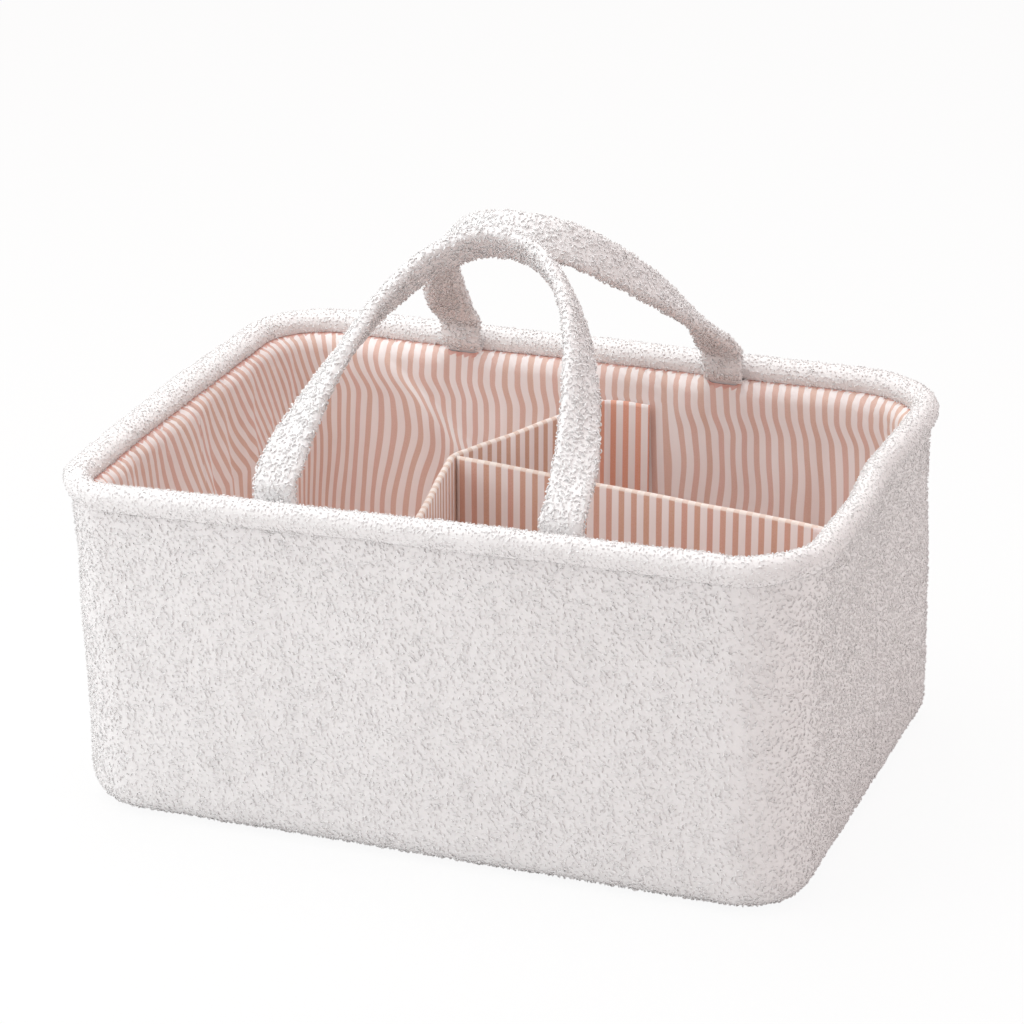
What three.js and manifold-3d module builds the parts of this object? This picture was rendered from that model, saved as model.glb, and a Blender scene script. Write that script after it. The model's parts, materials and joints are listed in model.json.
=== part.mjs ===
// Diaper caddy: a soft terry basket with a padded rim roll, a striped cotton lining, two folding
// strap handles and a lift-out T-shaped divider with peel-off flaps.
// Millimetres. X runs along the length, the front faces -Y, Z is up, and the origin is the middle
// of the underside.

import * as THREE from 'three';
import { mergeVertices } from 'three/addons/utils/BufferGeometryUtils.js';
import Module from 'manifold-3d';

const wasm = await Module();
wasm.setup();

// Basket, measured at the middle of the rim roll
const RIM_HALF_LENGTH = 192;
const RIM_HALF_WIDTH = 142;
const RIM_HEIGHT = 178;
const ROLL_RADIUS = 8;
const BASE_CORNER_RADIUS = 35;
const EDGE_ROUNDING = 15;
const WALL_OUTSET = 0.75; // how far the wall's outer face lies outside the middle of the roll
const LEFT_BOW = 4; // the left wall is pushed out by what was carried in it
const WALL_FALLOFF = 4; // how quickly a wall's bow and folds fade out round its corners

// Corner radii at the rim, going round from the front right
const CORNERS = [
  { x: 1, y: -1, radius: 46 },
  { x: 1, y: 1, radius: 50 },
  { x: -1, y: 1, radius: 40 },
  { x: -1, y: -1, radius: 18 },
];

// Layers, and the clearance between pieces that touch
const TERRY = 3;
const WALL_BOARD = 3.5;
const BASE_BOARD = 3;
const LINING = 1;
const GAP = 0.3;
const LIP_OVERLAP = 0.1; // how far the roll's edges close over the walls' top edges

// Handles: a padded strap, bent to an arch, with sewn ends in the rim seam
const HANDLE_X = -6;
const HANDLE_HALF_SPAN = 75;
const HANDLE_RISE = 153;
const FOOT_UPRIGHT_SHARE = 0.33; // of the rise, how straight the legs start
const CROWN_WIDTH_SHARE = 0.69; // of the half span, how broad the crown is
const STRAP_HALF_WIDTH = 11.5;
const STRAP_HALF_THICKNESS = 4.5;
const STRAP_BEVEL = 2.5;
const STRAP_COVER = 1.8;
const TWIST_START = 14; // the strap is flat this far up each leg, then twists towards the crown
const TWIST_POWER = 0.88;
const SEWN_TAIL = 2.5; // thickness of the strap's end, pressed flat between board and lining
const SEWN_TAIL_LENGTH = 21;
const TAIL_MARGIN = 14; // the lining lies off each tail this far past its edges
const TAIL_SPREAD = 24; // and is back under the roll this far past them

// Lining folds
const LINING_TOP_DROP = 5.6; // the gathered edge, below the middle of the roll
const TAB_DROP = 1.4; // and lower still where a handle comes out
const GATHER_HEIGHT = 14;
const FOLD_POWER = 0.7;
const FLAT_MARGIN = 10; // the lining is sewn flat this far around each loop patch

// Main folds: wall, place along it as a share of its half length, width, depth and lean
const FOLDS = [
  { wall: 'back', place_share: -0.84, width: 9, depth: 3.2, lean: 6 },
  { wall: 'back', place_share: -0.62, width: 10, depth: 4, lean: 62 },
  { wall: 'back', place_share: -0.3, width: 12, depth: 2.6, lean: 10 },
  { wall: 'back', place_share: -0.12, width: 9, depth: 2, lean: -6 },
  { wall: 'back', place_share: 0.32, width: 11, depth: 3.4, lean: 14 },
  { wall: 'back', place_share: 0.54, width: 10, depth: 2.6, lean: 8 },
  { wall: 'back', place_share: 0.78, width: 12, depth: 2, lean: 0 },
  { wall: 'left', place_share: 0.72, width: 8, depth: 3.6, lean: -6 },
  { wall: 'left', place_share: 0.46, width: 8, depth: 3.2, lean: 5 },
  { wall: 'left', place_share: 0.2, width: 9, depth: 3.8, lean: -8 },
  { wall: 'left', place_share: -0.08, width: 8, depth: 3, lean: 4 },
  { wall: 'left', place_share: -0.36, width: 9, depth: 3.4, lean: 6 },
  { wall: 'left', place_share: -0.66, width: 9, depth: 2.8, lean: 0 },
  { wall: 'right', place_share: 0.55, width: 12, depth: 2.2, lean: 4 },
  { wall: 'right', place_share: -0.5, width: 12, depth: 2.4, lean: -4 },
  { wall: 'front', place_share: -0.7, width: 12, depth: 2.8, lean: 8 },
  { wall: 'front', place_share: -0.36, width: 12, depth: 2.6, lean: -6 },
  { wall: 'front', place_share: 0.2, width: 12, depth: 2.4, lean: 6 },
  { wall: 'front', place_share: 0.62, width: 14, depth: 2.6, lean: 0 },
];

// Divider
const DIVIDER_TOP = 155;
const JUNCTION = new THREE.Vector2(-45, 20);
const REAR_END_X = 2;
const FRONT_END_X = -20;
const STEM_END_Y = -12;
const PANEL_HALF_THICKNESS = 1.6;
const PANEL_FABRIC = 0.5;
const PANEL_TOP_FABRIC = 0.8;
const POCKET_END_MARGIN = 3; // sewn fabric past each end of a board
const POCKET_OVERRUN = 0.3; // the hollow is cut this far past the cover's lower edge
const BOARD_LIFT = 0.6;
const FLAP = 1.5;
const FLAP_LENGTH = 25;
const FLAP_LIFT = 3;
const PATCH = 1;
const PATCH_WIDTH = 18;
const PATCH_ROOT_MARGIN = 4;
const PATCH_LOW_MARGIN = 16;
const PATCH_TOP_MARGIN = 6;

// Seams half way along the short walls, as shares of the straight stretch
const RIGHT_SEAM_SHARE = 0.55;
const LEFT_SEAM_SHARE = 0.45;
const BOARD_END_SHARE = 0.03;

// Steps
const STEPS = { side: 4, corner: 6, edge: 5, liningSide: 24, liningCorner: 5, strap: 30, foot: 3 };
const ROLL_STEPS = 12;
const ROLL_INSIDE_STEPS = 10;
const CORE_STEPS = 8;
const KNUCKLE_STEPS = 6;
const LINING_HEIGHT_SHARES = [0, 0.2, 0.42, 0.64, 0.82, 0.93, 1];

// Places worked out from the layers: an inset is a distance inwards from the middle of the roll
const TERRY_OUTER = -WALL_OUTSET;
const TERRY_INNER = TERRY_OUTER + TERRY;
const BOARD_OUTER = TERRY_INNER + GAP;
const BOARD_INNER = BOARD_OUTER + WALL_BOARD;
const TAIL_OUTER = BOARD_INNER + GAP;
const TAIL_INNER = TAIL_OUTER + SEWN_TAIL;
const LINING_BACK = TAIL_INNER + GAP;
const LINING_FACE = LINING_BACK + LINING;
const LOOP_FACE = LINING_FACE + GAP + PATCH;
const HOOK_FACE = LOOP_FACE + GAP + PATCH;
const FLAP_BACK = HOOK_FACE + GAP;
const FLAP_FACE = FLAP_BACK + FLAP;
const PANEL_END = FLAP_FACE + GAP;

const ROLL_INSIDE = ROLL_RADIUS - TERRY;
const CORE_RADIUS = ROLL_INSIDE * Math.cos(Math.PI / ROLL_INSIDE_STEPS) - GAP;
const WALL_TOP = RIM_HEIGHT - CORE_RADIUS - GAP;
const BASE_BOARD_LOW = TERRY + GAP;
const FLOOR_LOW = BASE_BOARD_LOW + BASE_BOARD + GAP;
const FLOOR_TOP = FLOOR_LOW + LINING;
const STANDING = FLOOR_TOP + GAP;
const UNDERSIDE_END = TERRY_OUTER + EDGE_ROUNDING;
const LINING_TOP = RIM_HEIGHT - LINING_TOP_DROP;

const HINGE_INSET = ROLL_RADIUS + GAP + STRAP_HALF_THICKNESS;
const HINGE_Y = RIM_HALF_WIDTH - HINGE_INSET;
const HINGE_HEIGHT = RIM_HEIGHT + ROLL_RADIUS + GAP + STRAP_HALF_THICKNESS;

// The handles lean inwards until the bevelled edges of their crowns meet
function leanAngle() {
  const along = HANDLE_RISE + STRAP_HALF_THICKNESS;
  const across = STRAP_HALF_WIDTH - STRAP_BEVEL;
  const reach = Math.hypot(along, across);
  return Math.atan2(across, along) + Math.acos((HINGE_Y - GAP / 2) / reach);
}

// Materials
const finishes = {
  terry: { color: '#f2f0ee', roughness: 0.95 },
  lining: { color: '#e9bfae', roughness: 0.85 },
  divider: { color: '#dca993', roughness: 0.85 },
  foam: { color: '#e6e4da', roughness: 0.9 },
  board: { color: '#b49a78', roughness: 0.9 },
  patch: { color: '#f0e4dc', roughness: 1 },
};

function material(name) {
  return new THREE.MeshStandardMaterial({ ...finishes[name], metalness: 0 });
}

// Solids from points and triangles, with the faces turned outwards
function solid(points, triangles) {
  let volume = 0;
  for (const [a, b, c] of triangles) {
    volume += points[a].dot(new THREE.Vector3().crossVectors(points[b], points[c]));
  }
  const faces = volume < 0 ? triangles.map(([a, b, c]) => [a, c, b]) : triangles;
  const geometry = new THREE.BufferGeometry().setFromPoints(points);
  geometry.setIndex(faces.flat());
  return geometry;
}

// Triangles over a flat ring of points, in the ring's own turning direction
function coverRing(ring) {
  const normal = new THREE.Vector3();
  ring.forEach((point, index) => {
    normal.add(new THREE.Vector3().crossVectors(point, ring[(index + 1) % ring.length]));
  });
  normal.normalize();
  const first = new THREE.Vector3().subVectors(ring[1], ring[0]).normalize();
  const second = new THREE.Vector3().crossVectors(normal, first);
  const flat = ring.map((point) => new THREE.Vector2(point.dot(first), point.dot(second)));
  return THREE.ShapeUtils.triangulateShape(flat, []).map(([a, b, c]) => {
    const turn = new THREE.Vector2().subVectors(flat[b], flat[a])
      .cross(new THREE.Vector2().subVectors(flat[c], flat[a]));
    return turn > 0 ? [a, b, c] : [a, c, b];
  });
}

// A skin over rings of equal count: closed into a loop, or covered at both ends
function loft(rings, looped) {
  const count = rings[0].length;
  const triangles = [];
  const last = looped ? rings.length : rings.length - 1;
  for (let ring = 0; ring < last; ring += 1) {
    const here = ring * count;
    const next = ((ring + 1) % rings.length) * count;
    for (let side = 0; side < count; side += 1) {
      const beside = (side + 1) % count;
      triangles.push([here + side, here + beside, next + beside]);
      triangles.push([here + side, next + beside, next + side]);
    }
  }
  if (!looped) {
    const end = (rings.length - 1) * count;
    for (const [a, b, c] of coverRing(rings[0])) triangles.push([a, c, b]);
    for (const [a, b, c] of coverRing(rings.at(-1))) triangles.push([end + a, end + b, end + c]);
  }
  return solid(rings.flat(), triangles);
}

// A plan outline raised from one height to another
function prism(outline, low, high) {
  return loft([low, high].map((z) => outline.map((point) => new THREE.Vector3(point.x, point.y, z))), false);
}

// A body with others cut away
function cut(geometry, tools) {
  let body = toManifold(geometry);
  for (const tool of tools) body = body.subtract(toManifold(tool));
  const { vertProperties, triVerts, numProp } = body.getMesh();
  const result = new THREE.BufferGeometry();
  const positions = [];
  for (let at = 0; at < vertProperties.length; at += numProp) {
    positions.push(vertProperties[at], vertProperties[at + 1], vertProperties[at + 2]);
  }
  result.setAttribute('position', new THREE.Float32BufferAttribute(positions, 3));
  result.setIndex([...triVerts]);
  return result;
}

function toManifold(geometry) {
  const merged = mergeVertices(geometry);
  return new wasm.Manifold(new wasm.Mesh({
    numProp: 3,
    vertProperties: new Float32Array(merged.attributes.position.array),
    triVerts: new Uint32Array(merged.index.array),
  }));
}

// The basket's plan. A place from 0 to 8 goes round it from the front wall's left end: whole even
// numbers start the front, right, back and left walls, and odd ones the corner after each.
const PLACES = CORNERS.length * 2;

function cornerPoint(index, share, inset, height) {
  const corner = CORNERS[index];
  const rise = THREE.MathUtils.clamp(height / RIM_HEIGHT, 0, 1);
  const radius = THREE.MathUtils.lerp(BASE_CORNER_RADIUS, corner.radius, rise);
  const angle = (index - 1 + share) * (Math.PI / 2);
  return new THREE.Vector2(
    corner.x * (RIM_HALF_LENGTH - radius) + (radius - inset) * Math.cos(angle),
    corner.y * (RIM_HALF_WIDTH - radius) + (radius - inset) * Math.sin(angle),
  );
}

function planPoint(place, inset, height) {
  const segment = Math.floor(place) % PLACES;
  const share = place - Math.floor(place);
  const index = Math.floor(segment / 2);
  const before = (index + CORNERS.length - 1) % CORNERS.length;
  const point = segment % 2
    ? cornerPoint(index, share, inset, height)
    : cornerPoint(before, 1, inset, height).lerp(cornerPoint(index, 0, inset, height), share);
  const along = 1 - (point.y / RIM_HALF_WIDTH) ** 2;
  const leftwards = THREE.MathUtils.clamp(-point.x / RIM_HALF_LENGTH, 0, 1) ** WALL_FALLOFF;
  point.x -= LEFT_BOW * along * leftwards;
  return point;
}

function placesBetween(start, end, perSide, perCorner) {
  const places = [start];
  for (let whole = Math.floor(start); whole < end; whole += 1) {
    const steps = whole % 2 ? perCorner : perSide;
    for (let step = 0; step < steps; step += 1) {
      const place = whole + step / steps;
      if (place > start && place < end) places.push(place);
    }
  }
  return [...places, end];
}

function placesAround(perSide, perCorner) {
  return placesBetween(0, PLACES, perSide, perCorner).slice(0, -1);
}

// A section, given as pairs of inset and height, carried round the plan
function carryRound(sectionAt, places, looped) {
  const rings = places.map((place) => sectionAt(place).map(([inset, height]) => {
    const point = planPoint(place, inset, height);
    return new THREE.Vector3(point.x, point.y, height);
  }));
  return loft(rings, looped);
}

function planOutline(inset, height) {
  return placesAround(STEPS.side, STEPS.corner).map((place) => planPoint(place, inset, height));
}

// Front and back halves meet at the seams on the short walls
function halfPlaces(half, perSide, perCorner) {
  const shortestStretch = 2 * (RIM_HALF_WIDTH - Math.max(...CORNERS.map(({ radius }) => radius)));
  const halfGapShare = GAP / 2 / shortestStretch;
  const rightSeam = 2 + RIGHT_SEAM_SHARE;
  const leftSeam = 6 + LEFT_SEAM_SHARE;
  return half === 'back'
    ? placesBetween(rightSeam + halfGapShare, leftSeam - halfGapShare, perSide, perCorner)
    : placesBetween(leftSeam + halfGapShare, PLACES + rightSeam - halfGapShare, perSide, perCorner);
}

function arc(radius, from, to, steps, centre) {
  return Array.from({ length: steps + 1 }, (_, step) => {
    const angle = THREE.MathUtils.lerp(from, to, step / steps);
    return [centre[0] + radius * Math.cos(angle), centre[1] + radius * Math.sin(angle)];
  });
}

// Outer shell: two wall panels that turn under at the bottom edge, and a base panel between them
function outerPanel(half) {
  const centre = [UNDERSIDE_END, EDGE_ROUNDING];
  const section = [
    [TERRY_OUTER, WALL_TOP],
    ...arc(EDGE_ROUNDING, Math.PI, 1.5 * Math.PI, STEPS.edge, centre),
    ...arc(EDGE_ROUNDING - TERRY, 1.5 * Math.PI, Math.PI, STEPS.edge, centre),
    [TERRY_INNER, WALL_TOP],
  ];
  return carryRound(() => section, halfPlaces(half, STEPS.side, STEPS.corner), false);
}

function outerBase() {
  return prism(planOutline(UNDERSIDE_END + GAP, 0), 0, TERRY);
}

// Stiffening: one board in each wall and one in the base
function wallBoard(wall) {
  const low = EDGE_ROUNDING;
  const high = RIM_HEIGHT - ROLL_RADIUS - GAP;
  const section = [[BOARD_OUTER, high], [BOARD_OUTER, low], [BOARD_INNER, low], [BOARD_INNER, high]];
  const start = 2 * wall + BOARD_END_SHARE;
  const end = 2 * wall + 1 - BOARD_END_SHARE;
  return carryRound(() => section, placesBetween(start, end, STEPS.side, STEPS.corner), false);
}

function baseBoard() {
  const facetShare = Math.cos(Math.PI / 4 / STEPS.edge);
  const rounding = (EDGE_ROUNDING - TERRY) * facetShare;
  const drop = EDGE_ROUNDING - BASE_BOARD_LOW;
  const inset = UNDERSIDE_END - Math.sqrt(Math.max(0, rounding ** 2 - drop ** 2)) + GAP;
  return prism(planOutline(inset, BASE_BOARD_LOW), BASE_BOARD_LOW, BASE_BOARD_LOW + BASE_BOARD);
}

// Rim: a terry roll, open below where the walls go in, round a foam core
function rimRoll() {
  const innerLip = -Math.acos(Math.min(1, (TERRY_INNER + LIP_OVERLAP) / ROLL_INSIDE));
  const outerLip = 2 * Math.PI - Math.acos(-Math.min(1, (WALL_OUTSET + GAP) / ROLL_INSIDE));
  const centre = [0, RIM_HEIGHT];
  const section = [
    ...arc(ROLL_RADIUS, innerLip, outerLip, ROLL_STEPS, centre),
    ...arc(ROLL_INSIDE, outerLip, innerLip, ROLL_INSIDE_STEPS, centre),
  ];
  return carryRound(() => section, placesAround(STEPS.side, STEPS.corner), true);
}

function rimCore() {
  const section = arc(CORE_RADIUS, 0, 2 * Math.PI, CORE_STEPS, [0, RIM_HEIGHT]).slice(0, -1);
  return carryRound(() => section, placesAround(STEPS.side, STEPS.corner), true);
}

// Lining: a loose cotton wall in two halves, gathered under the roll, and a floor
function handleFeet() {
  return [-1, 1].map((side) => HANDLE_X + side * HANDLE_HALF_SPAN);
}

function tailNearness(point) {
  if (Math.abs(point.y) < RIM_HALF_WIDTH / 2) return 0;
  const away = Math.min(...handleFeet().map((x) => Math.abs(point.x - x)));
  return 1 - THREE.MathUtils.smoothstep(away, STRAP_HALF_WIDTH + TAIL_MARGIN, STRAP_HALF_WIDTH + TAIL_SPREAD);
}

function wallPlace(point, wall) {
  if (wall === 'back' || wall === 'front') {
    const facing = wall === 'back' ? point.y : -point.y;
    return { along: point.x, half: RIM_HALF_LENGTH, facing: facing / RIM_HALF_WIDTH };
  }
  const facing = wall === 'right' ? point.x : -point.x;
  return { along: point.y, half: RIM_HALF_WIDTH, facing: facing / RIM_HALF_LENGTH };
}

function patchNearness(point) {
  const patches = flapPlan();
  return Math.max(...Object.values(patches).map(({ root, along }) => {
    const middle = root.clone().addScaledVector(along, FLAP_LENGTH / 2);
    const away = point.distanceTo(middle) - FLAP_LENGTH / 2;
    return 1 - THREE.MathUtils.smoothstep(away, PANEL_END, PANEL_END + FLAT_MARGIN);
  }));
}

function foldDepth(point, heightShare) {
  const hanging = Math.sin(Math.PI * heightShare) ** FOLD_POWER;
  let depth = 0;
  for (const { wall, place_share: share, width, depth: crest, lean } of FOLDS) {
    const { along, half, facing } = wallPlace(point, wall);
    if (facing <= 0) continue;
    const from = (along - share * half - lean * (1 - heightShare)) / width;
    depth = Math.max(depth, crest * Math.exp(-from * from) * facing ** WALL_FALLOFF);
  }
  return depth * hanging * (1 - patchNearness(point));
}

function liningSection(place) {
  const tail = tailNearness(planPoint(place, LINING_BACK, LINING_TOP));
  const top = LINING_TOP - TAB_DROP * tail;
  const backs = LINING_HEIGHT_SHARES.map((share) => {
    const height = THREE.MathUtils.lerp(STANDING, top, share);
    const gathered = THREE.MathUtils.smoothstep(height, top - GATHER_HEIGHT, top) * (1 - tail);
    const settled = LINING_BACK - (LINING_BACK - TAIL_OUTER) * gathered;
    return [settled + foldDepth(planPoint(place, LINING_BACK, height), share), height];
  });
  const faces = backs.map(([inset, height]) => [inset + LINING, height]);
  return [...backs, ...faces.reverse()];
}

function liningHalf(half) {
  return carryRound(liningSection, halfPlaces(half, STEPS.liningSide, STEPS.liningCorner), false);
}

function liningFloor() {
  return prism(planOutline(ROLL_RADIUS, FLOOR_LOW), FLOOR_LOW, FLOOR_TOP);
}

// Handles. The arch stands upright on its hinge line, in the plane of X and Z, with its front
// face towards -Y: the strap lies flat at its feet and edge on at its crown.
const legCurve = new THREE.CubicBezierCurve(
  new THREE.Vector2(HANDLE_HALF_SPAN, 0),
  new THREE.Vector2(HANDLE_HALF_SPAN, HANDLE_RISE * FOOT_UPRIGHT_SHARE),
  new THREE.Vector2(HANDLE_HALF_SPAN * CROWN_WIDTH_SHARE, HANDLE_RISE),
  new THREE.Vector2(0, HANDLE_RISE),
);

function archFrame(share) {
  const side = share < 0 ? -1 : 1;
  const climb = 1 - Math.abs(share);
  const point = legCurve.getPointAt(climb);
  const tangent = legCurve.getTangentAt(climb);
  const outward = new THREE.Vector3(side * tangent.y, 0, -tangent.x);
  const facing = new THREE.Vector3(0, -1, 0);
  const length = legCurve.getLength();
  const twisted = Math.max(0, (climb * length - TWIST_START) / (length - TWIST_START));
  const twist = (Math.PI / 2) * Math.sin((Math.PI / 2) * twisted ** TWIST_POWER);
  return {
    centre: new THREE.Vector3(side * point.x, 0, point.y),
    across: outward.clone().multiplyScalar(Math.cos(twist)).addScaledVector(facing, -Math.sin(twist)),
    through: facing.clone().multiplyScalar(Math.cos(twist)).addScaledVector(outward, Math.sin(twist)),
  };
}

function strapSection(frame, halfWidth, halfThickness, bevel) {
  const corners = [
    [halfWidth, bevel - halfThickness], [halfWidth, halfThickness - bevel],
    [halfWidth - bevel, halfThickness], [bevel - halfWidth, halfThickness],
    [-halfWidth, halfThickness - bevel], [-halfWidth, bevel - halfThickness],
    [bevel - halfWidth, -halfThickness], [halfWidth - bevel, -halfThickness],
  ];
  return corners.map(([a, b]) => frame.centre.clone()
    .addScaledVector(frame.across, a).addScaledVector(frame.through, b));
}

function footFrame(side, drop) {
  const frame = archFrame(side);
  frame.centre.z -= drop;
  return frame;
}

// Rings of the strap from foot to foot, each foot rounded about the hinge line down to lipHalf
function strapRings(inset, lipHalf) {
  const halfWidth = STRAP_HALF_WIDTH - inset;
  const halfThickness = STRAP_HALF_THICKNESS - inset;
  const bevel = STRAP_BEVEL - inset / 2;
  const lipAngle = Math.acos(lipHalf / halfThickness);
  const foot = (side) => Array.from({ length: STEPS.foot }, (_, step) => {
    const angle = lipAngle * (1 - step / STEPS.foot);
    const half = halfThickness * Math.cos(angle);
    const frame = footFrame(side, halfThickness * Math.sin(angle));
    return strapSection(frame, halfWidth, half, bevel * Math.cos(angle));
  });
  const arch = Array.from({ length: STEPS.strap + 1 }, (_, step) => {
    const frame = archFrame(THREE.MathUtils.lerp(-1, 1, step / STEPS.strap));
    return strapSection(frame, halfWidth, halfThickness, bevel);
  });
  return [...foot(-1), ...arch, ...foot(1).reverse()];
}

function handleCover() {
  const hollow = STRAP_HALF_THICKNESS - STRAP_COVER;
  const mouth = Math.sqrt(STRAP_HALF_THICKNESS ** 2 - hollow ** 2);
  const inner = strapRings(STRAP_COVER, hollow);
  const straight = inner.slice(STEPS.foot, inner.length - STEPS.foot);
  const [leftEnd, rightEnd] = [-1, 1].map((side) => strapSection(
    footFrame(side, mouth + GAP),
    STRAP_HALF_WIDTH - STRAP_COVER,
    hollow,
    STRAP_BEVEL - STRAP_COVER / 2,
  ));
  return cut(loft(strapRings(0, hollow), false), [loft([leftEnd, ...straight, rightEnd], false)]);
}

function handleCore() {
  const rings = strapRings(STRAP_COVER + GAP, STRAP_HALF_THICKNESS - STRAP_COVER - GAP);
  return loft(rings.slice(STEPS.foot, rings.length - STEPS.foot), false);
}

// The strap's sewn end: full thickness above the seam, pressed flat below it
function handleTab(x) {
  const seam = LINING_TOP - TAB_DROP + GAP;
  const outerFace = HINGE_INSET - STRAP_HALF_THICKNESS;
  const innerFace = HINGE_INSET + STRAP_HALF_THICKNESS;
  const section = [
    [TAIL_OUTER, seam - SEWN_TAIL_LENGTH], [TAIL_INNER, seam - SEWN_TAIL_LENGTH], [TAIL_INNER, seam],
    [innerFace, seam + STRAP_HALF_THICKNESS], [innerFace, HINGE_HEIGHT - STRAP_HALF_THICKNESS - GAP],
    [outerFace, HINGE_HEIGHT - STRAP_HALF_THICKNESS - GAP], [outerFace, seam + SEWN_TAIL],
    [TAIL_OUTER, seam - GAP],
  ];
  const ends = [-STRAP_HALF_WIDTH, STRAP_HALF_WIDTH].map((side) => section.map(([inset, z]) => (
    new THREE.Vector3(x + side, inset - RIM_HALF_WIDTH, z)
  )));
  return loft(ends, false);
}

// Divider plan. Each leg runs out from the junction, and left is to the left of that direction.
function leg(end) {
  const along = new THREE.Vector2().subVectors(end, JUNCTION).normalize();
  return { from: JUNCTION, along, left: new THREE.Vector2(-along.y, along.x) };
}

function meet(one, two) {
  const across = one.along.cross(two.along);
  const between = new THREE.Vector2().subVectors(two.from, one.from);
  return one.from.clone().addScaledVector(one.along, between.cross(two.along) / across);
}

function shifted(line, leftwards) {
  return { ...line, from: line.from.clone().addScaledVector(line.left, leftwards) };
}

const wallLines = {
  rear: { from: new THREE.Vector2(0, RIM_HALF_WIDTH - PANEL_END), along: new THREE.Vector2(1, 0) },
  front: { from: new THREE.Vector2(0, PANEL_END - RIM_HALF_WIDTH), along: new THREE.Vector2(1, 0) },
  right: { from: new THREE.Vector2(RIM_HALF_LENGTH - PANEL_END, 0), along: new THREE.Vector2(0, 1) },
};

const legs = {
  rear: leg(new THREE.Vector2(REAR_END_X, RIM_HALF_WIDTH - PANEL_END)),
  front: leg(new THREE.Vector2(FRONT_END_X, PANEL_END - RIM_HALF_WIDTH)),
};

// The stem's round root turns in the hollow of the bent cross panel
function stemHinge() {
  const toRear = shifted(legs.rear, -PANEL_HALF_THICKNESS * 2 - GAP);
  const toFront = shifted(legs.front, PANEL_HALF_THICKNESS * 2 + GAP);
  return meet(toRear, toFront);
}

const stemRoot = stemHinge();
const stemAlong = new THREE.Vector2(RIM_HALF_LENGTH - PANEL_END, STEM_END_Y).sub(stemRoot).normalize();
legs.stem = { from: stemRoot, along: stemAlong, left: new THREE.Vector2(-stemAlong.y, stemAlong.x) };

// Where each flap starts, on the face of its panel, and which way it lies along the wall
function flapPlan() {
  const slip = FLAP_FACE - PANEL_END;
  const plans = {
    rear: { line: shifted(legs.rear, -PANEL_HALF_THICKNESS), wall: wallLines.rear },
    front: { line: shifted(legs.front, PANEL_HALF_THICKNESS), wall: wallLines.front },
    stem: { line: shifted(legs.stem, PANEL_HALF_THICKNESS), wall: wallLines.right },
  };
  const outwards = {
    rear: new THREE.Vector2(0, 1), front: new THREE.Vector2(0, -1), stem: new THREE.Vector2(1, 0),
  };
  return Object.fromEntries(Object.entries(plans).map(([name, { line, wall }]) => {
    const outward = outwards[name];
    const face = { from: wall.from.clone().addScaledVector(outward, -slip), along: wall.along };
    return [name, { root: meet(line, face), along: wall.along, outward }];
  }));
}

function crossCover() {
  const { rear, front } = legs;
  const half = PANEL_HALF_THICKNESS;
  const outline = [
    meet(shifted(rear, half), wallLines.rear), meet(shifted(rear, half), shifted(front, -half)),
    meet(shifted(front, -half), wallLines.front), meet(shifted(front, half), wallLines.front),
    meet(shifted(front, half), shifted(rear, -half)), meet(shifted(rear, -half), wallLines.rear),
  ];
  return cut(prism(outline, STANDING, DIVIDER_TOP), [pocket('rear'), pocket('front')]);
}

function stemCover() {
  const half = PANEL_HALF_THICKNESS;
  const { stem } = legs;
  const start = Math.atan2(stem.left.y, stem.left.x);
  const root = arc(half, start, start + Math.PI, KNUCKLE_STEPS, [stem.from.x, stem.from.y]);
  const outline = [
    meet(shifted(stem, half), wallLines.right),
    ...root.map(([x, y]) => new THREE.Vector2(x, y)),
    meet(shifted(stem, -half), wallLines.right),
  ];
  return cut(prism(outline, STANDING, DIVIDER_TOP), [pocket('stem')]);
}

// An upright plate inside a cover, with some room round the board
function plateInside(name, room, low, high) {
  const line = legs[name];
  const wall = wallLines[name === 'stem' ? 'right' : name];
  const half = PANEL_HALF_THICKNESS - PANEL_FABRIC - GAP + room;
  const start = POCKET_END_MARGIN + PANEL_HALF_THICKNESS - room;
  const reach = meet(line, wall).distanceTo(line.from) - POCKET_END_MARGIN + room;
  const corners = [[start, half], [start, -half], [reach, -half], [reach, half]];
  const outline = corners.map(([out, side]) => line.from.clone()
    .addScaledVector(line.along, out).addScaledVector(line.left, side));
  return prism(outline, low, high);
}

function pocket(name) {
  return plateInside(name, GAP, STANDING - POCKET_OVERRUN, DIVIDER_TOP - PANEL_TOP_FABRIC);
}

function dividerBoard(name) {
  return plateInside(name, 0, STANDING + BOARD_LIFT, DIVIDER_TOP - PANEL_TOP_FABRIC - GAP);
}

// Plates that lie along the wall, from the flap's root: distances out towards the wall
function wallPlate(name, start, end, near, far, low, high) {
  const { root, along, outward } = flapPlan()[name];
  const corners = [[start, near], [end, near], [end, far], [start, far]];
  const outline = corners.map(([run, out]) => root.clone()
    .addScaledVector(along, run).addScaledVector(outward, out));
  return prism(outline, low, high);
}

function flap(name) {
  return wallPlate(name, GAP, FLAP_LENGTH, 0, FLAP, STANDING + FLAP_LIFT, DIVIDER_TOP);
}

function patch(name, face) {
  const out = FLAP_FACE - face;
  const low = STANDING + PATCH_LOW_MARGIN;
  const high = DIVIDER_TOP - PATCH_TOP_MARGIN;
  const start = PATCH_ROOT_MARGIN;
  return wallPlate(name, start, start + PATCH_WIDTH, out, out + PATCH, low, high);
}

// Assembly, moved so that the origin is midway between the bowed left wall and the right one
const caddy = new THREE.Group();
caddy.position.x = LEFT_BOW / 2;

function add(parent, name, geometry, finish) {
  const mesh = new THREE.Mesh(geometry, material(finish));
  mesh.name = name;
  parent.add(mesh);
  return mesh;
}

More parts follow.
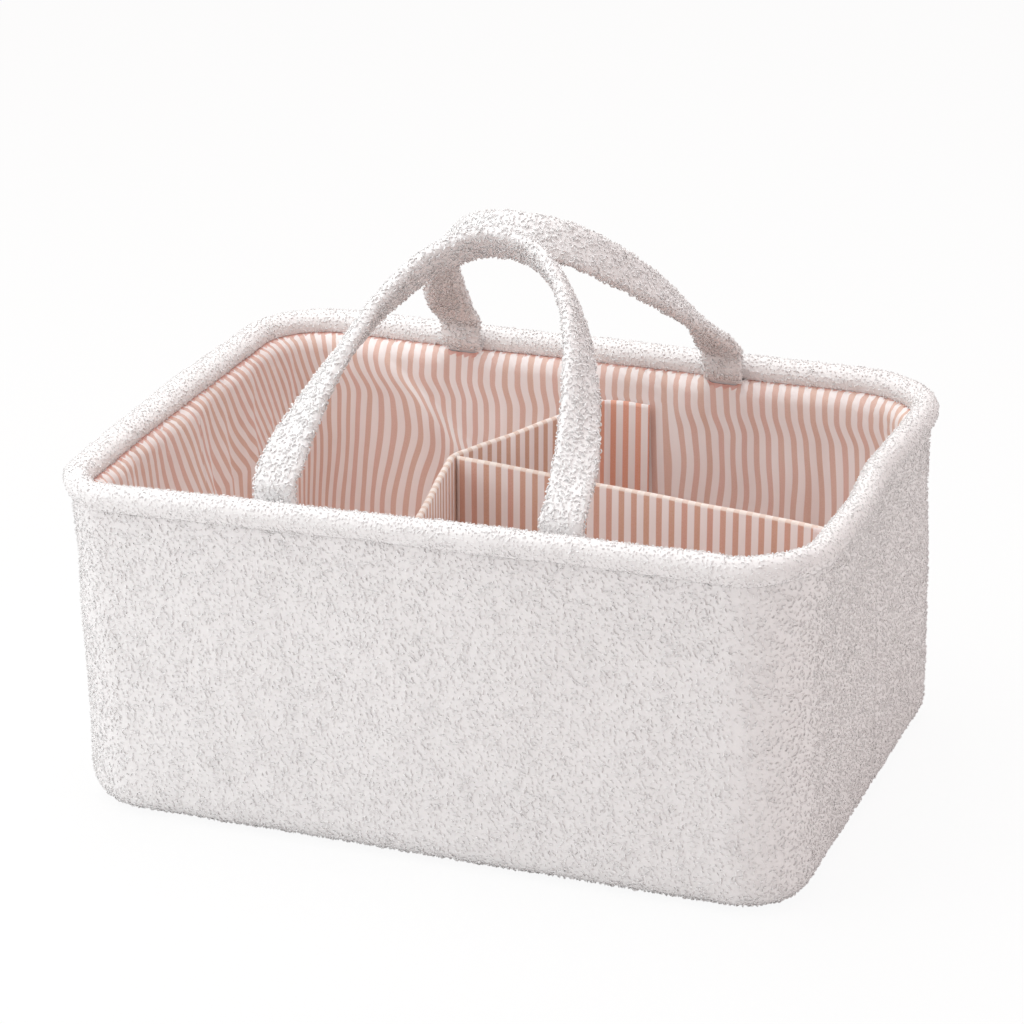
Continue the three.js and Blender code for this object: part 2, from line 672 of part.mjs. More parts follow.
function addBasket() {
  add(caddy, 'outer_front_panel', outerPanel('front'), 'terry');
  add(caddy, 'outer_back_panel', outerPanel('back'), 'terry');
  add(caddy, 'outer_base_panel', outerBase(), 'terry');
  ['front', 'right', 'back', 'left'].forEach((wall, index) => {
    add(caddy, `${wall}_wall_board`, wallBoard(index), 'board');
  });
  add(caddy, 'base_board', baseBoard(), 'board');
  add(caddy, 'rim_roll', rimRoll(), 'terry');
  add(caddy, 'rim_core', rimCore(), 'foam');
  add(caddy, 'lining_front_panel', liningHalf('front'), 'lining');
  add(caddy, 'lining_back_panel', liningHalf('back'), 'lining');
  add(caddy, 'lining_floor', liningFloor(), 'lining');
}

function addHandle(name, turn) {
  const side = new THREE.Group();
  side.rotation.z = turn;
  side.position.x = HANDLE_X;
  caddy.add(side);
  const arch = new THREE.Group();
  arch.position.set(0, -HINGE_Y, HINGE_HEIGHT);
  arch.rotation.x = leanAngle() - Math.PI / 2;
  side.add(arch);
  add(arch, `${name}_handle_cover`, handleCover(), 'terry');
  add(arch, `${name}_handle_core`, handleCore(), 'foam');
  const leftFirst = turn === 0 ? ['left', 'right'] : ['right', 'left'];
  leftFirst.forEach((place, index) => {
    const x = index ? HANDLE_HALF_SPAN : -HANDLE_HALF_SPAN;
    add(side, `${name}_handle_${place}_tab`, handleTab(x), 'terry');
  });
}

function addDivider() {
  add(caddy, 'divider_cross_cover', crossCover(), 'divider');
  add(caddy, 'divider_stem_cover', stemCover(), 'divider');
  for (const name of ['rear', 'front', 'stem']) {
    add(caddy, `divider_${name}_board`, dividerBoard(name), 'board');
    add(caddy, `divider_${name}_flap`, flap(name), 'divider');
    add(caddy, `${name}_hook_patch`, patch(name, HOOK_FACE), 'patch');
    add(caddy, `${name}_loop_patch`, patch(name, LOOP_FACE), 'patch');
  }
}

addBasket();
addHandle('front', 0);
addHandle('back', Math.PI);
addDivider();

export default caddy;
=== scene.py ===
"""Dresses a soft caddy: looped terry walls, a padded rim, striped lining, strap handles and a divider."""

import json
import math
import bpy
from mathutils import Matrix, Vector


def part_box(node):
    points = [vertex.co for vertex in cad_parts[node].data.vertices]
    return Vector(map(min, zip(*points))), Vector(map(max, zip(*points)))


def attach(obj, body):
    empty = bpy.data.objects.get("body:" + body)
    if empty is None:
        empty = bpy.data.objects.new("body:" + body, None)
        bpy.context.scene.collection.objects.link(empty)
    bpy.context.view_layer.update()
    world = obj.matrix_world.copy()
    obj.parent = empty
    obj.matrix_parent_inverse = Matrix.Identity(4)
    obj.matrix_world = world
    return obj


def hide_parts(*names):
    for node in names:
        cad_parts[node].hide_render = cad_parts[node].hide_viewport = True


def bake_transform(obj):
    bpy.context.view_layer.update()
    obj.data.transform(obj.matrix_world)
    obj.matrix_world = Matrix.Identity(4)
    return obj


bl_info = {
    "name": "Terry Caddy",
    "version": (1, 0, 0),
    "blender": (4, 5, 0),
    "location": "3D View > Sidebar > Caddy",
    "description": "Builds the cloth, padding and loops of a soft terry caddy round its fixed frame",
    "category": "Add Mesh",
}

import bmesh
import bpy
import numpy as np
from bpy.props import FloatProperty, FloatVectorProperty, PointerProperty
from mathutils import Matrix, Vector

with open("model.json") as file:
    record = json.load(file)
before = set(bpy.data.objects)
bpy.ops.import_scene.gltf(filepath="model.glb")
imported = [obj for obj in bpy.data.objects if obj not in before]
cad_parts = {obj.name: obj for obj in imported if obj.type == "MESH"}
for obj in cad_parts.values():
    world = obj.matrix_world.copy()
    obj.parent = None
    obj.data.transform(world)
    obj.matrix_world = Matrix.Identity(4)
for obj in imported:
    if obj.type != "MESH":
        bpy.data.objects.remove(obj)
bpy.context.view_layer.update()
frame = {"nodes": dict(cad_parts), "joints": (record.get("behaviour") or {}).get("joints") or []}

MM = 0.001
rim_low, rim_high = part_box("rim_roll")
panel_low, panel_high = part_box("divider_cross_cover")


def length(name, description, default):
    return FloatProperty(name=name, description=description, default=default, unit="LENGTH", precision=5)


def share(name, description, default):
    return FloatProperty(name=name, description=description, default=default, subtype="FACTOR")


def angle(name, description, degrees):
    return FloatProperty(name=name, description=description, default=math.radians(degrees), subtype="ANGLE")


def colour(name, description, default):
    return FloatVectorProperty(name=name, description=description, default=default, size=3, subtype="COLOR")


def plan_point(name, description, x, y):
    """A point seen from above, given in millimetres"""
    return FloatVectorProperty(
        name=name, description=description, default=(x * MM, y * MM), size=2, unit="LENGTH", precision=5)


class CaddyBasket(bpy.types.PropertyGroup):
    """Sizes of the basket, measured at the middle of its rim roll"""

    roll_radius: length("Roll radius", "Radius of the padded rim", 8 * MM)
    left_bow: length("Left bow", "How far the left wall is pushed out", 4 * MM)
    half_length: length("Half length", "Half the rim's length", (rim_high.x - rim_low.x) / 2 - 10 * MM)
    half_width: length("Half width", "Half the rim's width", rim_high.y - 8 * MM)
    rim_height: length("Rim height", "Height of the middle of the roll", rim_high.z - 8 * MM)
    corner_radii: FloatVectorProperty(
        name="Corner radii",
        description="Radii at the rim, from the front right corner round to the front left one",
        default=(40 * MM, 50 * MM, 40 * MM, 18 * MM),
        size=4,
        unit="LENGTH",
    )
    base_corner_radius: length("Base corner radius", "Radius of each corner at the base", 35 * MM)
    edge_rounding: length("Edge rounding", "Radius of the bottom edge", 15 * MM)
    terry: length("Terry", "Thickness of the terry", 3 * MM)
    wall_outset: length("Wall outset", "From the middle of the roll out to the wall's face", 0.75 * MM)
    pile: length("Pile", "Height of the loops on the terry", 0.9 * MM)
    right_seam: share("Right seam", "Place of the seam along the right wall", 0.55)
    left_seam: share("Left seam", "Place of the seam along the left wall", 0.45)
    front_climb: share("Front climb", "How steeply the soft front rim climbs to the right", 0.0235)
    back_climb: share("Back climb", "How steeply the soft back rim climbs to the right", 0.009)
    front_level: length("Front level", "Where the front rim keeps its height", -41 * MM)
    back_level: length("Back level", "Where the back rim keeps its height", 40 * MM)
    flare: length("Flare", "How far the top of the wall leans out under the roll", 2.0 * MM)
    left_swell: share("Left swell", "How much wider the roll's inner side is on the left wall", 0.2)


class CaddyHandles(bpy.types.PropertyGroup):
    """Sizes of the strap handles"""

    middle: length("Middle", "Place of both handles along the caddy", -4 * MM)
    half_span: length("Half span", "Half the distance between a handle's feet", 75 * MM)
    rise: length("Rise", "Length from the bending line to the crown", 153 * MM)
    foot_upright: share("Foot upright", "How straight the legs start, of the rise", 0.33)
    crown_width: share("Crown width", "How broad the crown is, of the half span", 0.69)
    half_width: length("Half width", "Half the strap's width", 11.5 * MM)
    half_thickness: length("Half thickness", "Half the strap's thickness", 4.5 * MM)
    bevel: length("Bevel", "How far the crowns' edges overlap before they meet", 2.5 * MM)
    gap: length("Gap", "Clearance between pieces", 0.3 * MM)
    twist_start: length("Twist start", "Flat stretch at the foot of each leg", 14 * MM)
    twist_power: FloatProperty(name="Twist power", description="How early the strap twists", default=0.88)
    bend_reach: length("Bend reach", "How far each side of the bending line the strap bends", 11 * MM)


class CaddyLining(bpy.types.PropertyGroup):
    """Sizes of the lining"""

    face_inset: length("Face inset", "From the middle of the roll in to the lining's face", 10.15 * MM)
    top: length("Top", "Height of the gathered edge", 172.4 * MM)
    low: length("Low", "Height of the lower edge", 7.9 * MM)
    thickness: length("Thickness", "Thickness of the cotton", 0.7 * MM)
    stripe: length("Stripe", "Width of a coloured and a white stripe together", 7.2 * MM)
    coloured: share("Coloured", "Share of that width that is coloured", 0.45)
    pleat: length("Pleat", "Width of one gather under the rim", 5.6 * MM)
    sewn_at: angle("Sewn at", "How far below the roll's side the gathered edge is sewn to it", 50)
    left_sewn_at: angle("Left sewn at", "The same on the left wall", 34)
    over_board: length("Over board", "Least height of the gathered edge over the wall boards", 1.5 * MM)
    puff: length("Puff", "How far the lining bulges below the gathers", 1.6 * MM)
    bend: length("Bend", "Height in which the bulge leaves the roll", 9 * MM)
    left_bend: length("Left bend", "The same on the left wall", 6.5 * MM)
    left_slant: share("Left slant", "How far its stripes slant at the front of the left wall", 0.3)
    back_slant: share("Back slant", "How much more they slant at the back of the left wall", 0.38)
    drag: length("Drag", "How far the slanting fold on the back wall drags the stripes", 11 * MM)
    flap_room: length("Flap room", "From the middle of the roll in to the lining behind a flap", 10.9 * MM)
    foot_drop: length("Foot drop", "How much lower its edge is behind a handle's sewn end", 1.4 * MM)


class CaddyDivider(bpy.types.PropertyGroup):
    """Places of the divider, seen from above"""

    junction: plan_point("Junction", "Where the cross panel bends", -43, 20)
    rear_end: plan_point("Rear end", "The cross panel's end at the back wall", 4, 127.15)
    front_end: plan_point("Front end", "The cross panel's end at the front wall", -18, -127.15)
    stem_root: plan_point("Stem root", "Start of the stem, at the cross panel", -39.37, 19.55)
    stem_end: plan_point("Stem end", "The stem's end at the right wall", 179.15, -12)
    half_thickness: length("Half thickness", "Half a covered panel's thickness", 1.4 * MM)
    fabric: length("Fabric", "Thickness of the panel's cotton", 0.5 * MM)
    sewn_end: length("Sewn end", "Flat sewn stretch at the end of each panel", 3 * MM)
    flap: length("Flap", "Length of a flap along its wall", 25 * MM)
    top: length("Top", "Height of the top edge", panel_high.z)


class CaddyColours(bpy.types.PropertyGroup):
    """Colours of the cloth"""

    loop: colour("Loop", "Brightest of the terry loops", (0.975, 0.97, 0.97))
    # painted shade: the cloth between the loops takes this duller colour, standing in for the shade down
    # between them; loops of low random tone lean towards it too
    ground: colour("Ground", "Dullest of the terry loops, and the cloth between them", (0.92, 0.915, 0.92))
    white: colour("White stripe", "White stripe of the cotton", (0.97, 0.91, 0.90))
    rose: colour("Rose stripe", "Pinker of the coloured stripes", (0.71, 0.37, 0.285))
    tan: colour("Tan stripe", "Browner of the coloured stripes", (0.67, 0.38, 0.245))
    # painted shade: a darker copy of the rose stripe, for the cross panel, which stands in shade
    shaded_rose: colour("Brown stripe", "Browner stripe of the divider's cross panel", (0.60, 0.36, 0.26))
    deep: colour("Deep stripe", "Coloured stripe of the flaps", (0.80, 0.35, 0.22))
    edge: colour("Edge", "Cotton along the fold of the divider", (0.93, 0.83, 0.75))
    # painted shade: a darker salmon laid over the lining's top band, standing in for the shade under the roll
    # and in the gathers' creases
    seam: colour("Seam", "Gathered edge of the lining", (0.74, 0.37, 0.31))
    blush: colour("Blush", "Plain side of the stem's flap", (0.88, 0.75, 0.74))
    board: colour("Board", "Stiffening board", (0.42, 0.32, 0.22))
    wadding: colour("Wadding", "Padding of the rim and straps", (0.82, 0.81, 0.78))
    tape: colour("Tape", "Hook and loop tape", (0.80, 0.72, 0.68))


class CaddyStage(bpy.types.PropertyGroup):
    """The camera's place and lens"""

    azimuth: angle("Azimuth", "Camera's turn to the right of the front", 20.06)
    elevation: angle("Elevation", "Camera's height above the horizon", 21.90)
    distance: length("Distance", "From the camera to the point that it looks at", 2.0418)
    aim_side: length("Aim side", "That point, sideways from the middle", -3.69 * MM)
    aim_height: length("Aim height", "That point, above the floor", 136.84 * MM)
    aim_shift: length("Aim shift", "Shift of the basket's middle along its length", 2 * MM)
    lens: FloatProperty(name="Lens", description="Focal length", default=138.3, unit="CAMERA")


def settings(group):
    return getattr(bpy.context.scene, "caddy_" + group)


class Value:
    """A number that flows through a node tree and takes part in sums"""

    def __init__(self, recipe, socket):
        self.recipe = recipe
        self.socket = socket

    def __add__(self, other):
        return self.recipe.maths("ADD", self, other)

    def __radd__(self, other):
        return self.recipe.maths("ADD", other, self)

    def __sub__(self, other):
        return self.recipe.maths("SUBTRACT", self, other)

    def __rsub__(self, other):
        return self.recipe.maths("SUBTRACT", other, self)

    def __mul__(self, other):
        return self.recipe.maths("MULTIPLY", self, other)

    def __rmul__(self, other):
        return self.recipe.maths("MULTIPLY", other, self)

    def __truediv__(self, other):
        return self.recipe.maths("DIVIDE", self, other)

    def __abs__(self):
        return self.recipe.maths("ABSOLUTE", self)

    def __gt__(self, other):
        return self.recipe.maths("GREATER_THAN", self, other)

    def __lt__(self, other):
        return self.recipe.maths("LESS_THAN", self, other)

    def floor(self):
        return self.recipe.maths("FLOOR", self)

    def fraction(self):
        return self.recipe.maths("FRACT", self)

    def sine(self):
        return self.recipe.maths("SINE", self)

    def clamped(self):
        made = self.recipe.node("ShaderNodeClamp", None, {0: self})
        return Value(self.recipe, made.outputs[0])


class Recipe:
    """Builds a node tree, for a material or for geometry"""

    def __init__(self, tree):
        self.tree = tree
        tree.nodes.clear()

    def feed(self, socket, value):
        source = value.socket if isinstance(value, Value) else value
        if isinstance(source, bpy.types.NodeSocket):
            self.tree.links.new(source, socket)
        else:
            socket.default_value = source

    def node(self, kind, choices=None, inputs=None):
        made = self.tree.nodes.new(kind)
        for name, choice in (choices or {}).items():
            setattr(made, name, choice)
        for key, value in (inputs or {}).items():
            for part in value if isinstance(value, list) else [value]:
                self.feed(made.inputs[key], part)
        return made

    def value(self, kind, choices=None, inputs=None, output=0):
        return Value(self, self.node(kind, choices, inputs).outputs[output])

    def maths(self, operation, *values):
        return self.value("ShaderNodeMath", {"operation": operation}, dict(enumerate(values)))

    def mixed(self, factor, first, second):
        return self.node("ShaderNodeMix", {"data_type": "RGBA"}, {0: factor, 6: first, 7: second}).outputs[2]

    def noise(self, place, scale, detail=2.0):
        inputs = {"Vector": place, "Scale": scale, "Detail": detail}
        return self.value("ShaderNodeTexNoise", None, inputs)


def rgba(three):
    return (*three, 1.0)


def cloth_material(name, paint, bump_strength, bump_distance, sheen=0.25):
    """A matt cloth. paint gets the recipe and gives the base colour, the roughness and the relief."""
    material = bpy.data.materials.new(name)
    material.use_nodes = True
    recipe = Recipe(material.node_tree)
    base, roughness, relief = paint(recipe)
    bump = recipe.node("ShaderNodeBump", None, {
        "Strength": bump_strength, "Distance": bump_distance, "Height": relief})
    surface = recipe.node("ShaderNodeBsdfPrincipled", None, {
        "Base Color": base,
        "Roughness": roughness,
        "Normal": bump.outputs[0],
        "Specular IOR Level": 0.2,
        "Sheen Weight": sheen,
        "Sheen Roughness": 0.5,
    })
    recipe.node("ShaderNodeOutputMaterial", None, {"Surface": surface.outputs[0]})


def terry_cloth():
    colours = settings("colours")

    def paint(recipe):
        place = recipe.node("ShaderNodeTexCoord").outputs["Object"]
        tone = recipe.value("ShaderNodeAttribute", {"attribute_name": "tone"}, output="Fac")
        knots = recipe.value("ShaderNodeTexVoronoi", {"feature": "F1"}, {"Vector": place, "Scale": 520.0})
        fibres = recipe.noise(place, 2400.0, 1.0)
        clouds = recipe.noise(place, 45.0, 2.0)
        flecks = recipe.noise(place, 420.0, 2.0)
        # painted shade: the ground between the loops carries no tone and comes out darker, and the knots term
        # darkens the low parts of the relief; flecks and clouds are random tone
        tone_and_hollow_shade = (tone * 0.55 + (0.7 - knots) * 0.4 + 0.7 * (flecks - 0.5) + 0.4 * clouds).clamped()
        base = recipe.mixed(tone_and_hollow_shade, rgba(colours.ground), rgba(colours.loop))
        relief = 0.5 * (1 - knots) + 0.4 * fibres
        return base, 0.95, relief

    cloth_material("looped_terry", paint, 0.35, 0.6 * MM)


def striped_cotton(name, rose, tan, folded=0.0, gathered=False):
    """Cotton with upright stripes. On a folded cover the stripes give way, by a share, to cream along the top
    of the fold, and a gathered cloth gets painted shade at its top: a darker salmon band with slanted edges,
    for the shade under the roll and in the gathers' creases."""
    colours, lining = settings("colours"), settings("lining")

    def paint(recipe):
        cloth = recipe.node("ShaderNodeUVMap", {"uv_map": "cloth"}).outputs[0]
        flat = recipe.node("ShaderNodeSeparateXYZ", None, {0: cloth})
        run, rise = (Value(recipe, flat.outputs[axis]) for axis in (0, 1))
        count = run / lining.stripe
        middle = abs(count.fraction() - 0.5)
        band = ((lining.coloured / 2 - middle) * 20.0 + 0.5).clamped()
        chance = recipe.value("ShaderNodeTexWhiteNoise", {"noise_dimensions": "1D"}, {"W": count.floor()})
        clouds = recipe.noise(cloth, 90.0, 2.0)
        threads = recipe.noise(cloth, 1500.0, 2.0)
        warm = (chance * 0.7 + clouds * 0.6 - 0.15).clamped()
        dyed = recipe.mixed(warm, rgba(rose), rgba(tan))
        faded = 0.2 if gathered else 0.0
        worn = recipe.mixed((threads * 0.3 + faded).clamped(), dyed, rgba(colours.white))
        base = recipe.mixed(band, rgba(colours.white), worn)
        if folded:
            up = recipe.value("ShaderNodeAttribute", {"attribute_name": "up"}, output="Fac")
            fold = ((0.125 - abs(up - 0.5)) * 40.0).clamped()
            base = recipe.mixed(fold * folded, base, rgba(colours.edge))
        if gathered:
            # painted shade: near the top the cloth turns the darker salmon, with slanted edges like the
            # gathers, for the shade under the roll and in their creases
            slant = run * (math.tau / (4.4 * MM)) + rise * (math.tau / (6.0 * MM))
            sewn = ((rise + slant.sine() * (0.8 * MM) + 2.4 * MM) * (1 / (0.8 * MM))).clamped()
            base = recipe.mixed(sewn * 0.75, base, rgba(colours.seam))
        weave = (run * (math.tau / (0.7 * MM))).sine() * (rise * (math.tau / (0.7 * MM))).sine()
        return base, 0.85, weave * 0.35 + threads

    cloth_material(name, paint, 0.25, 0.25 * MM, sheen=0.1)


def plain_cotton(name, tint):
    def paint(recipe):
        place = recipe.node("ShaderNodeTexCoord").outputs["Object"]
        clouds = recipe.noise(place, 120.0, 2.0)
        threads = recipe.noise(place, 1800.0, 2.0)
        pale = tuple(1 - (1 - part) * 0.6 for part in tint)
        return recipe.mixed((clouds * 0.6).clamped(), rgba(tint), rgba(pale)), 0.85, threads

    cloth_material(name, paint, 0.3, 0.2 * MM, sheen=0.1)


def grey_board():
    tint = settings("colours").board

    def paint(recipe):
        place = recipe.node("ShaderNodeTexCoord").outputs["Object"]
        specks = recipe.noise(place, 900.0, 3.0)
        dark = tuple(part * 0.7 for part in tint)
        return recipe.mixed(specks, rgba(dark), rgba(tint)), 0.8, specks

    cloth_material("grey_board", paint, 0.15, 0.1 * MM, sheen=0.0)


def tape(name, pitch):
    """Hook or loop tape: rows of small bumps"""
    tint = settings("colours").tape

    def paint(recipe):
        place = recipe.node("ShaderNodeTexCoord").outputs["Object"]
        knots = recipe.value("ShaderNodeTexVoronoi", {"feature": "F1"}, {"Vector": place, "Scale": 1 / pitch})
        # painted shade: the tape darkens between its bumps, where the relief is low
        dark = tuple(part * 0.75 for part in tint)
        return recipe.mixed((knots * 1.2).clamped(), rgba(tint), rgba(dark)), 0.9, 1 - knots

    cloth_material(name, paint, 0.6, 0.5 * MM, sheen=0.1)


RIM_LIE = [
    # place round the basket, then how far the soft rim lies inwards and upwards there, in millimetres
    (0.0, 0.8, -0.6),
    (0.25, 0.2, 0.1),
    (0.5, 0.0, 0.5),
    (0.75, -0.3, 0.9),
    (0.92, -0.5, 0.4),
    (1.1, -0.8, -0.6),
    (1.6, -1.0, 0.2),
    (2.0, -1.2, -0.2),
    (2.3, -0.6, -1.8),
    (2.6, 3.4, 0.6),
    (3.0, 3.0, 0.2),
    (3.4, 1.0, 0.3),
    (4.0, 0.0, 0.0),
    (6.0, 0.0, 0.0),
    (6.5, -0.3, 1.4),
    (7.0, 1.0, 3.2),
    (7.3, 2.0, 3.6),
    (7.6, 1.8, 1.8),
    (8.0, 0.8, -0.6),
]


class Plan:
    """The basket seen from above. A place from 0 to 8 goes round it from the front wall's left end:
    whole even numbers start the front, right, back and left walls, and odd ones the corner after each."""

    SIDES = np.array([(1, -1), (1, 1), (-1, 1), (-1, -1)], float)
    PLACES = 8

    def __init__(self):
        self.basket = settings("basket")
        self.marks = np.linspace(0, self.PLACES, 4001)
        middle = self.points(self.marks, 0.0, self.basket.rim_height / 2)
        steps = np.linalg.norm(np.diff(middle, axis=0), axis=1)
        self.runs = np.concatenate([[0.0], np.cumsum(steps)])
        self.round = float(self.runs[-1])

    def corner(self, index, turn, inset, height):
        rise = np.clip(height / self.basket.rim_height, 0, 1)
        low = self.basket.base_corner_radius
        radius = low + (np.array(self.basket.corner_radii)[index] - low) * rise
        bearing = (index - 1 + turn) * math.pi / 2
        x = self.SIDES[index, 0] * (self.basket.half_length - radius) + (radius - inset) * np.cos(bearing)
        y = self.SIDES[index, 1] * (self.basket.half_width - radius) + (radius - inset) * np.sin(bearing)
        return x, y

    def points(self, place, inset, height):
        place, inset, height = np.broadcast_arrays(np.asarray(place, float), inset, height)
        soft = self.softness(height)
        upwards = self.lie(place)[1]
        inset = inset + self.carried_in(place, height)
        segment = np.floor(place).astype(int) % self.PLACES
        turn = place - np.floor(place)
        index = segment // 2
        curved = segment % 2 == 1
        before = np.where(curved, index, (index + 3) % 4)
        x0, y0 = self.corner(before, np.where(curved, turn, 1.0), inset, height)
        x1, y1 = self.corner(index, np.where(curved, turn, 0.0), inset, height)
        mix = np.where(curved, 0.0, turn)
        x, y = x0 + (x1 - x0) * mix, y0 + (y1 - y0) * mix
        along = 1 - (y / self.basket.half_width) ** 2
        leftwards = np.clip(-x / self.basket.half_length, 0, 1) ** 4
        bow = self.basket.left_bow
        x = x - bow * along * leftwards + bow / 2
        return np.column_stack([x, y, height + (self.climb(x, y) + upwards) * soft])

    def softness(self, height):
        """How much a height takes part in the soft rim's lie"""
        return smooth(height, 0.5 * self.basket.rim_height, 0.93 * self.basket.rim_height)

    def lie(self, place):
        """How far the soft rim lies inwards and upwards, passing smoothly from knot to knot"""
        marks, *lies = np.array(RIM_LIE).T
        along = np.mod(place, self.PLACES)
        before = np.clip(np.searchsorted(marks, along, side="right") - 1, 0, len(marks) - 2)
        part = smooth(along, marks[before], marks[before + 1])
        return [MM * (lie[before] * (1 - part) + lie[before + 1] * part) for lie in lies]

    def carried_in(self, place, height):
        """How far the soft rim carries what hangs below it inwards"""
        return self.lie(place)[0] * self.softness(height)

    def swell(self, place):
        """How much wider the inner side of the roll is than its outer side"""
        along = np.mod(place, self.PLACES)
        return 1 + self.basket.left_swell * smooth(along, 5.8, 6.3) * (1 - smooth(along, 6.9, 7.3))

    def climb(self, x, y):
        """How far the soft rim has risen or sunk: it climbs to the right, most of all in front"""
        basket = self.basket
        behind = np.clip((y / basket.half_width + 1) / 2, 0, 1)
        front = basket.front_climb * (x - basket.front_level)
        back = basket.back_climb * (x - basket.back_level)
        return front + (back - front) * behind

    def place_at(self, run):
        turns = np.floor(run / self.round)
        return np.interp(run - turns * self.round, self.runs, self.marks) + turns * self.PLACES

    def run_at(self, place):
        turns = math.floor(place / self.PLACES)
        return float(np.interp(place - turns * self.PLACES, self.marks, self.runs)) + turns * self.round

    def seams(self, half):
        """Where the front or back half starts and ends, as runs round the basket"""
        right = self.run_at(2 + self.basket.right_seam)
        left = self.run_at(6 + self.basket.left_seam)
        return (right, left) if half == "back" else (left, right + self.round)


def drift(seed, x, y, columns=256, rows=64):
    """Smooth chance between -1 and 1 over a plane, with one knot at each whole number. It repeats
    after so many columns and rows."""
    knots = np.random.default_rng(seed).uniform(-1, 1, (rows, columns))
    column, row = np.floor(x).astype(int), np.floor(y).astype(int)
    across, along = x - column, y - row
    across, along = (part * part * (3 - 2 * part) for part in (across, along))
    left, right = column % columns, (column + 1) % columns
    near, far = (knots[line % rows, left] * (1 - across) + knots[line % rows, right] * across
                 for line in (row, row + 1))
    return near * (1 - along) + far * along


def smooth(value, low, high):
    part = np.clip((value - low) / (high - low), 0, 1)
    return part * part * (3 - 2 * part)


def along_line(corners, part):
    """Points along a line of corners, at shares of its length"""
    corners = np.asarray(corners, float)
    marks = np.concatenate([[0.0], np.cumsum(np.linalg.norm(np.diff(corners, axis=0), axis=1))])
    reach = part * marks[-1]
    return np.column_stack([np.interp(reach, marks, corners[:, axis]) for axis in range(corners.shape[1])])


def arc(centre, radius, start, end, steps):
    bearings = np.radians(np.linspace(start, end, steps + 1))
    return [(centre[0] + radius * math.cos(b), centre[1] + radius * math.sin(b)) for b in bearings]


def stretches(part, lines):
    """Points along several lines, each with its own count of steps: the lines, then the steps"""
    total = sum(steps for _, steps in lines)
    points, which, done = np.zeros((len(part), 2)), np.zeros(len(part), int), 0
    for number, (corners, steps) in enumerate(lines):
        local = (part * total - done) / steps
        here = (local > 1e-6) if number else (local > -1)
        points[here] = along_line(corners, np.clip(local[here], 0, 1))
        which[here] = number
        done += steps
    return points, which


def laid_grid(name, across, along, shape, welded=False, capped=False, facing=None):
    """A grid laid over a shape, which gives points, cloth coordinates and how much of the pile grows.
    An open sheet faces a given way."""
    bm = bmesh.new()
    bm.loops.layers.uv.new("cloth")
    bmesh.ops.create_grid(bm, x_segments=across, y_segments=along, size=0.5)
    mesh = bpy.data.meshes.new(name)
    bm.to_mesh(mesh)
    flat = np.empty(len(mesh.vertices) * 3, np.float32)
    mesh.vertices.foreach_get("co", flat)
    shares = flat.reshape(-1, 3)[:, :2].astype(float) + 0.5
    points, cloth, pile = shape(shares[:, 0], shares[:, 1])
    mesh.vertices.foreach_set("co", points.astype(np.float32).ravel())
    corners = np.empty(len(mesh.loops), np.int32)
    mesh.loops.foreach_get("vertex_index", corners)
    mesh.uv_layers["cloth"].data.foreach_set("uv", cloth[corners].astype(np.float32).ravel())
    for title, values in (("pile", pile), ("around", shares[:, 0]), ("up", shares[:, 1])):
        attribute = mesh.attributes.new(title, "FLOAT", "POINT")
        attribute.data.foreach_set("value", np.broadcast_to(values, len(points)).astype(np.float32))
    bm.clear()
    bm.from_mesh(mesh)
    if welded:
        bmesh.ops.remove_doubles(bm, verts=bm.verts, dist=0.001 * MM)
    if capped:
        bmesh.ops.holes_fill(bm, edges=[edge for edge in bm.edges if edge.is_boundary])
    if facing:
        bm.normal_update()
        if sum((face.normal.dot(facing) for face in bm.faces), 0.0) < 0:
            bmesh.ops.reverse_faces(bm, faces=bm.faces)
    elif welded or capped:
        bmesh.ops.recalc_face_normals(bm, faces=bm.faces)
    bm.to_mesh(mesh)
    bm.free()
    mesh.shade_smooth()
    return mesh


def linked(name, mesh, material):
    mesh.materials.clear()
    mesh.materials.append(material)
    piece = bpy.data.objects.new(name, mesh)
    bpy.context.scene.collection.objects.link(piece)
    return piece


def settle(piece, body, replaced=()):
    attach(piece, body)
    if replaced:
        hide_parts(*replaced)


def thickened(piece, thickness, offset=-1.0):
    modifier = piece.modifiers.new("cloth", "SOLIDIFY")
    modifier.thickness = thickness
    modifier.offset = offset
    modifier.use_rim = True


def grown(ground, title, grow):
    """The mesh that a geometry recipe makes of a ground piece"""
    tree = bpy.data.node_groups.new(title, "GeometryNodeTree")
    for way in ("INPUT", "OUTPUT"):
        tree.interface.new_socket("Geometry", in_out=way, socket_type="NodeSocketGeometry")
    recipe = Recipe(tree)
    result = grow(recipe, recipe.node("NodeGroupInput").outputs[0])
    recipe.node("NodeGroupOutput", None, {0: result})
    modifier = ground.modifiers.new(title, "NODES")
    modifier.node_group = tree
    seen = ground.evaluated_get(bpy.context.evaluated_depsgraph_get())
    mesh = bpy.data.meshes.new_from_object(seen)
    ground.modifiers.remove(modifier)
    bpy.data.node_groups.remove(tree)
    return mesh


def roughen(piece, height):
    """Lifts the ground of the terry into small knots, where its pile grows"""
    def grow(recipe, mesh):
        place = recipe.node("GeometryNodeInputPosition").outputs[0]
        pile = recipe.value("GeometryNodeInputNamedAttribute", {"data_type": "FLOAT"}, {"Name": "pile"})
        knots = recipe.value("ShaderNodeTexVoronoi", {"feature": "SMOOTH_F1"}, {
            "Vector": place, "Scale": 330.0, "Smoothness": 0.4})
        lumps = recipe.noise(place, 150.0, 3.0)
        lift = pile * ((0.5 - knots) * 0.45 + (lumps - 0.5) * 0.5) * height
        normal = recipe.node("GeometryNodeInputNormal").outputs[0]
        offset = recipe.node("ShaderNodeVectorMath", {"operation": "SCALE"}, {0: normal, "Scale": lift})
        moved = recipe.node("GeometryNodeSetPosition", None, {"Geometry": mesh, "Offset": offset.outputs[0]})
        return moved.outputs[0]

    old = piece.data
    piece.data = grown(piece, "roughened", grow)
    name = old.name
    bpy.data.meshes.remove(old)
    piece.data.name = name


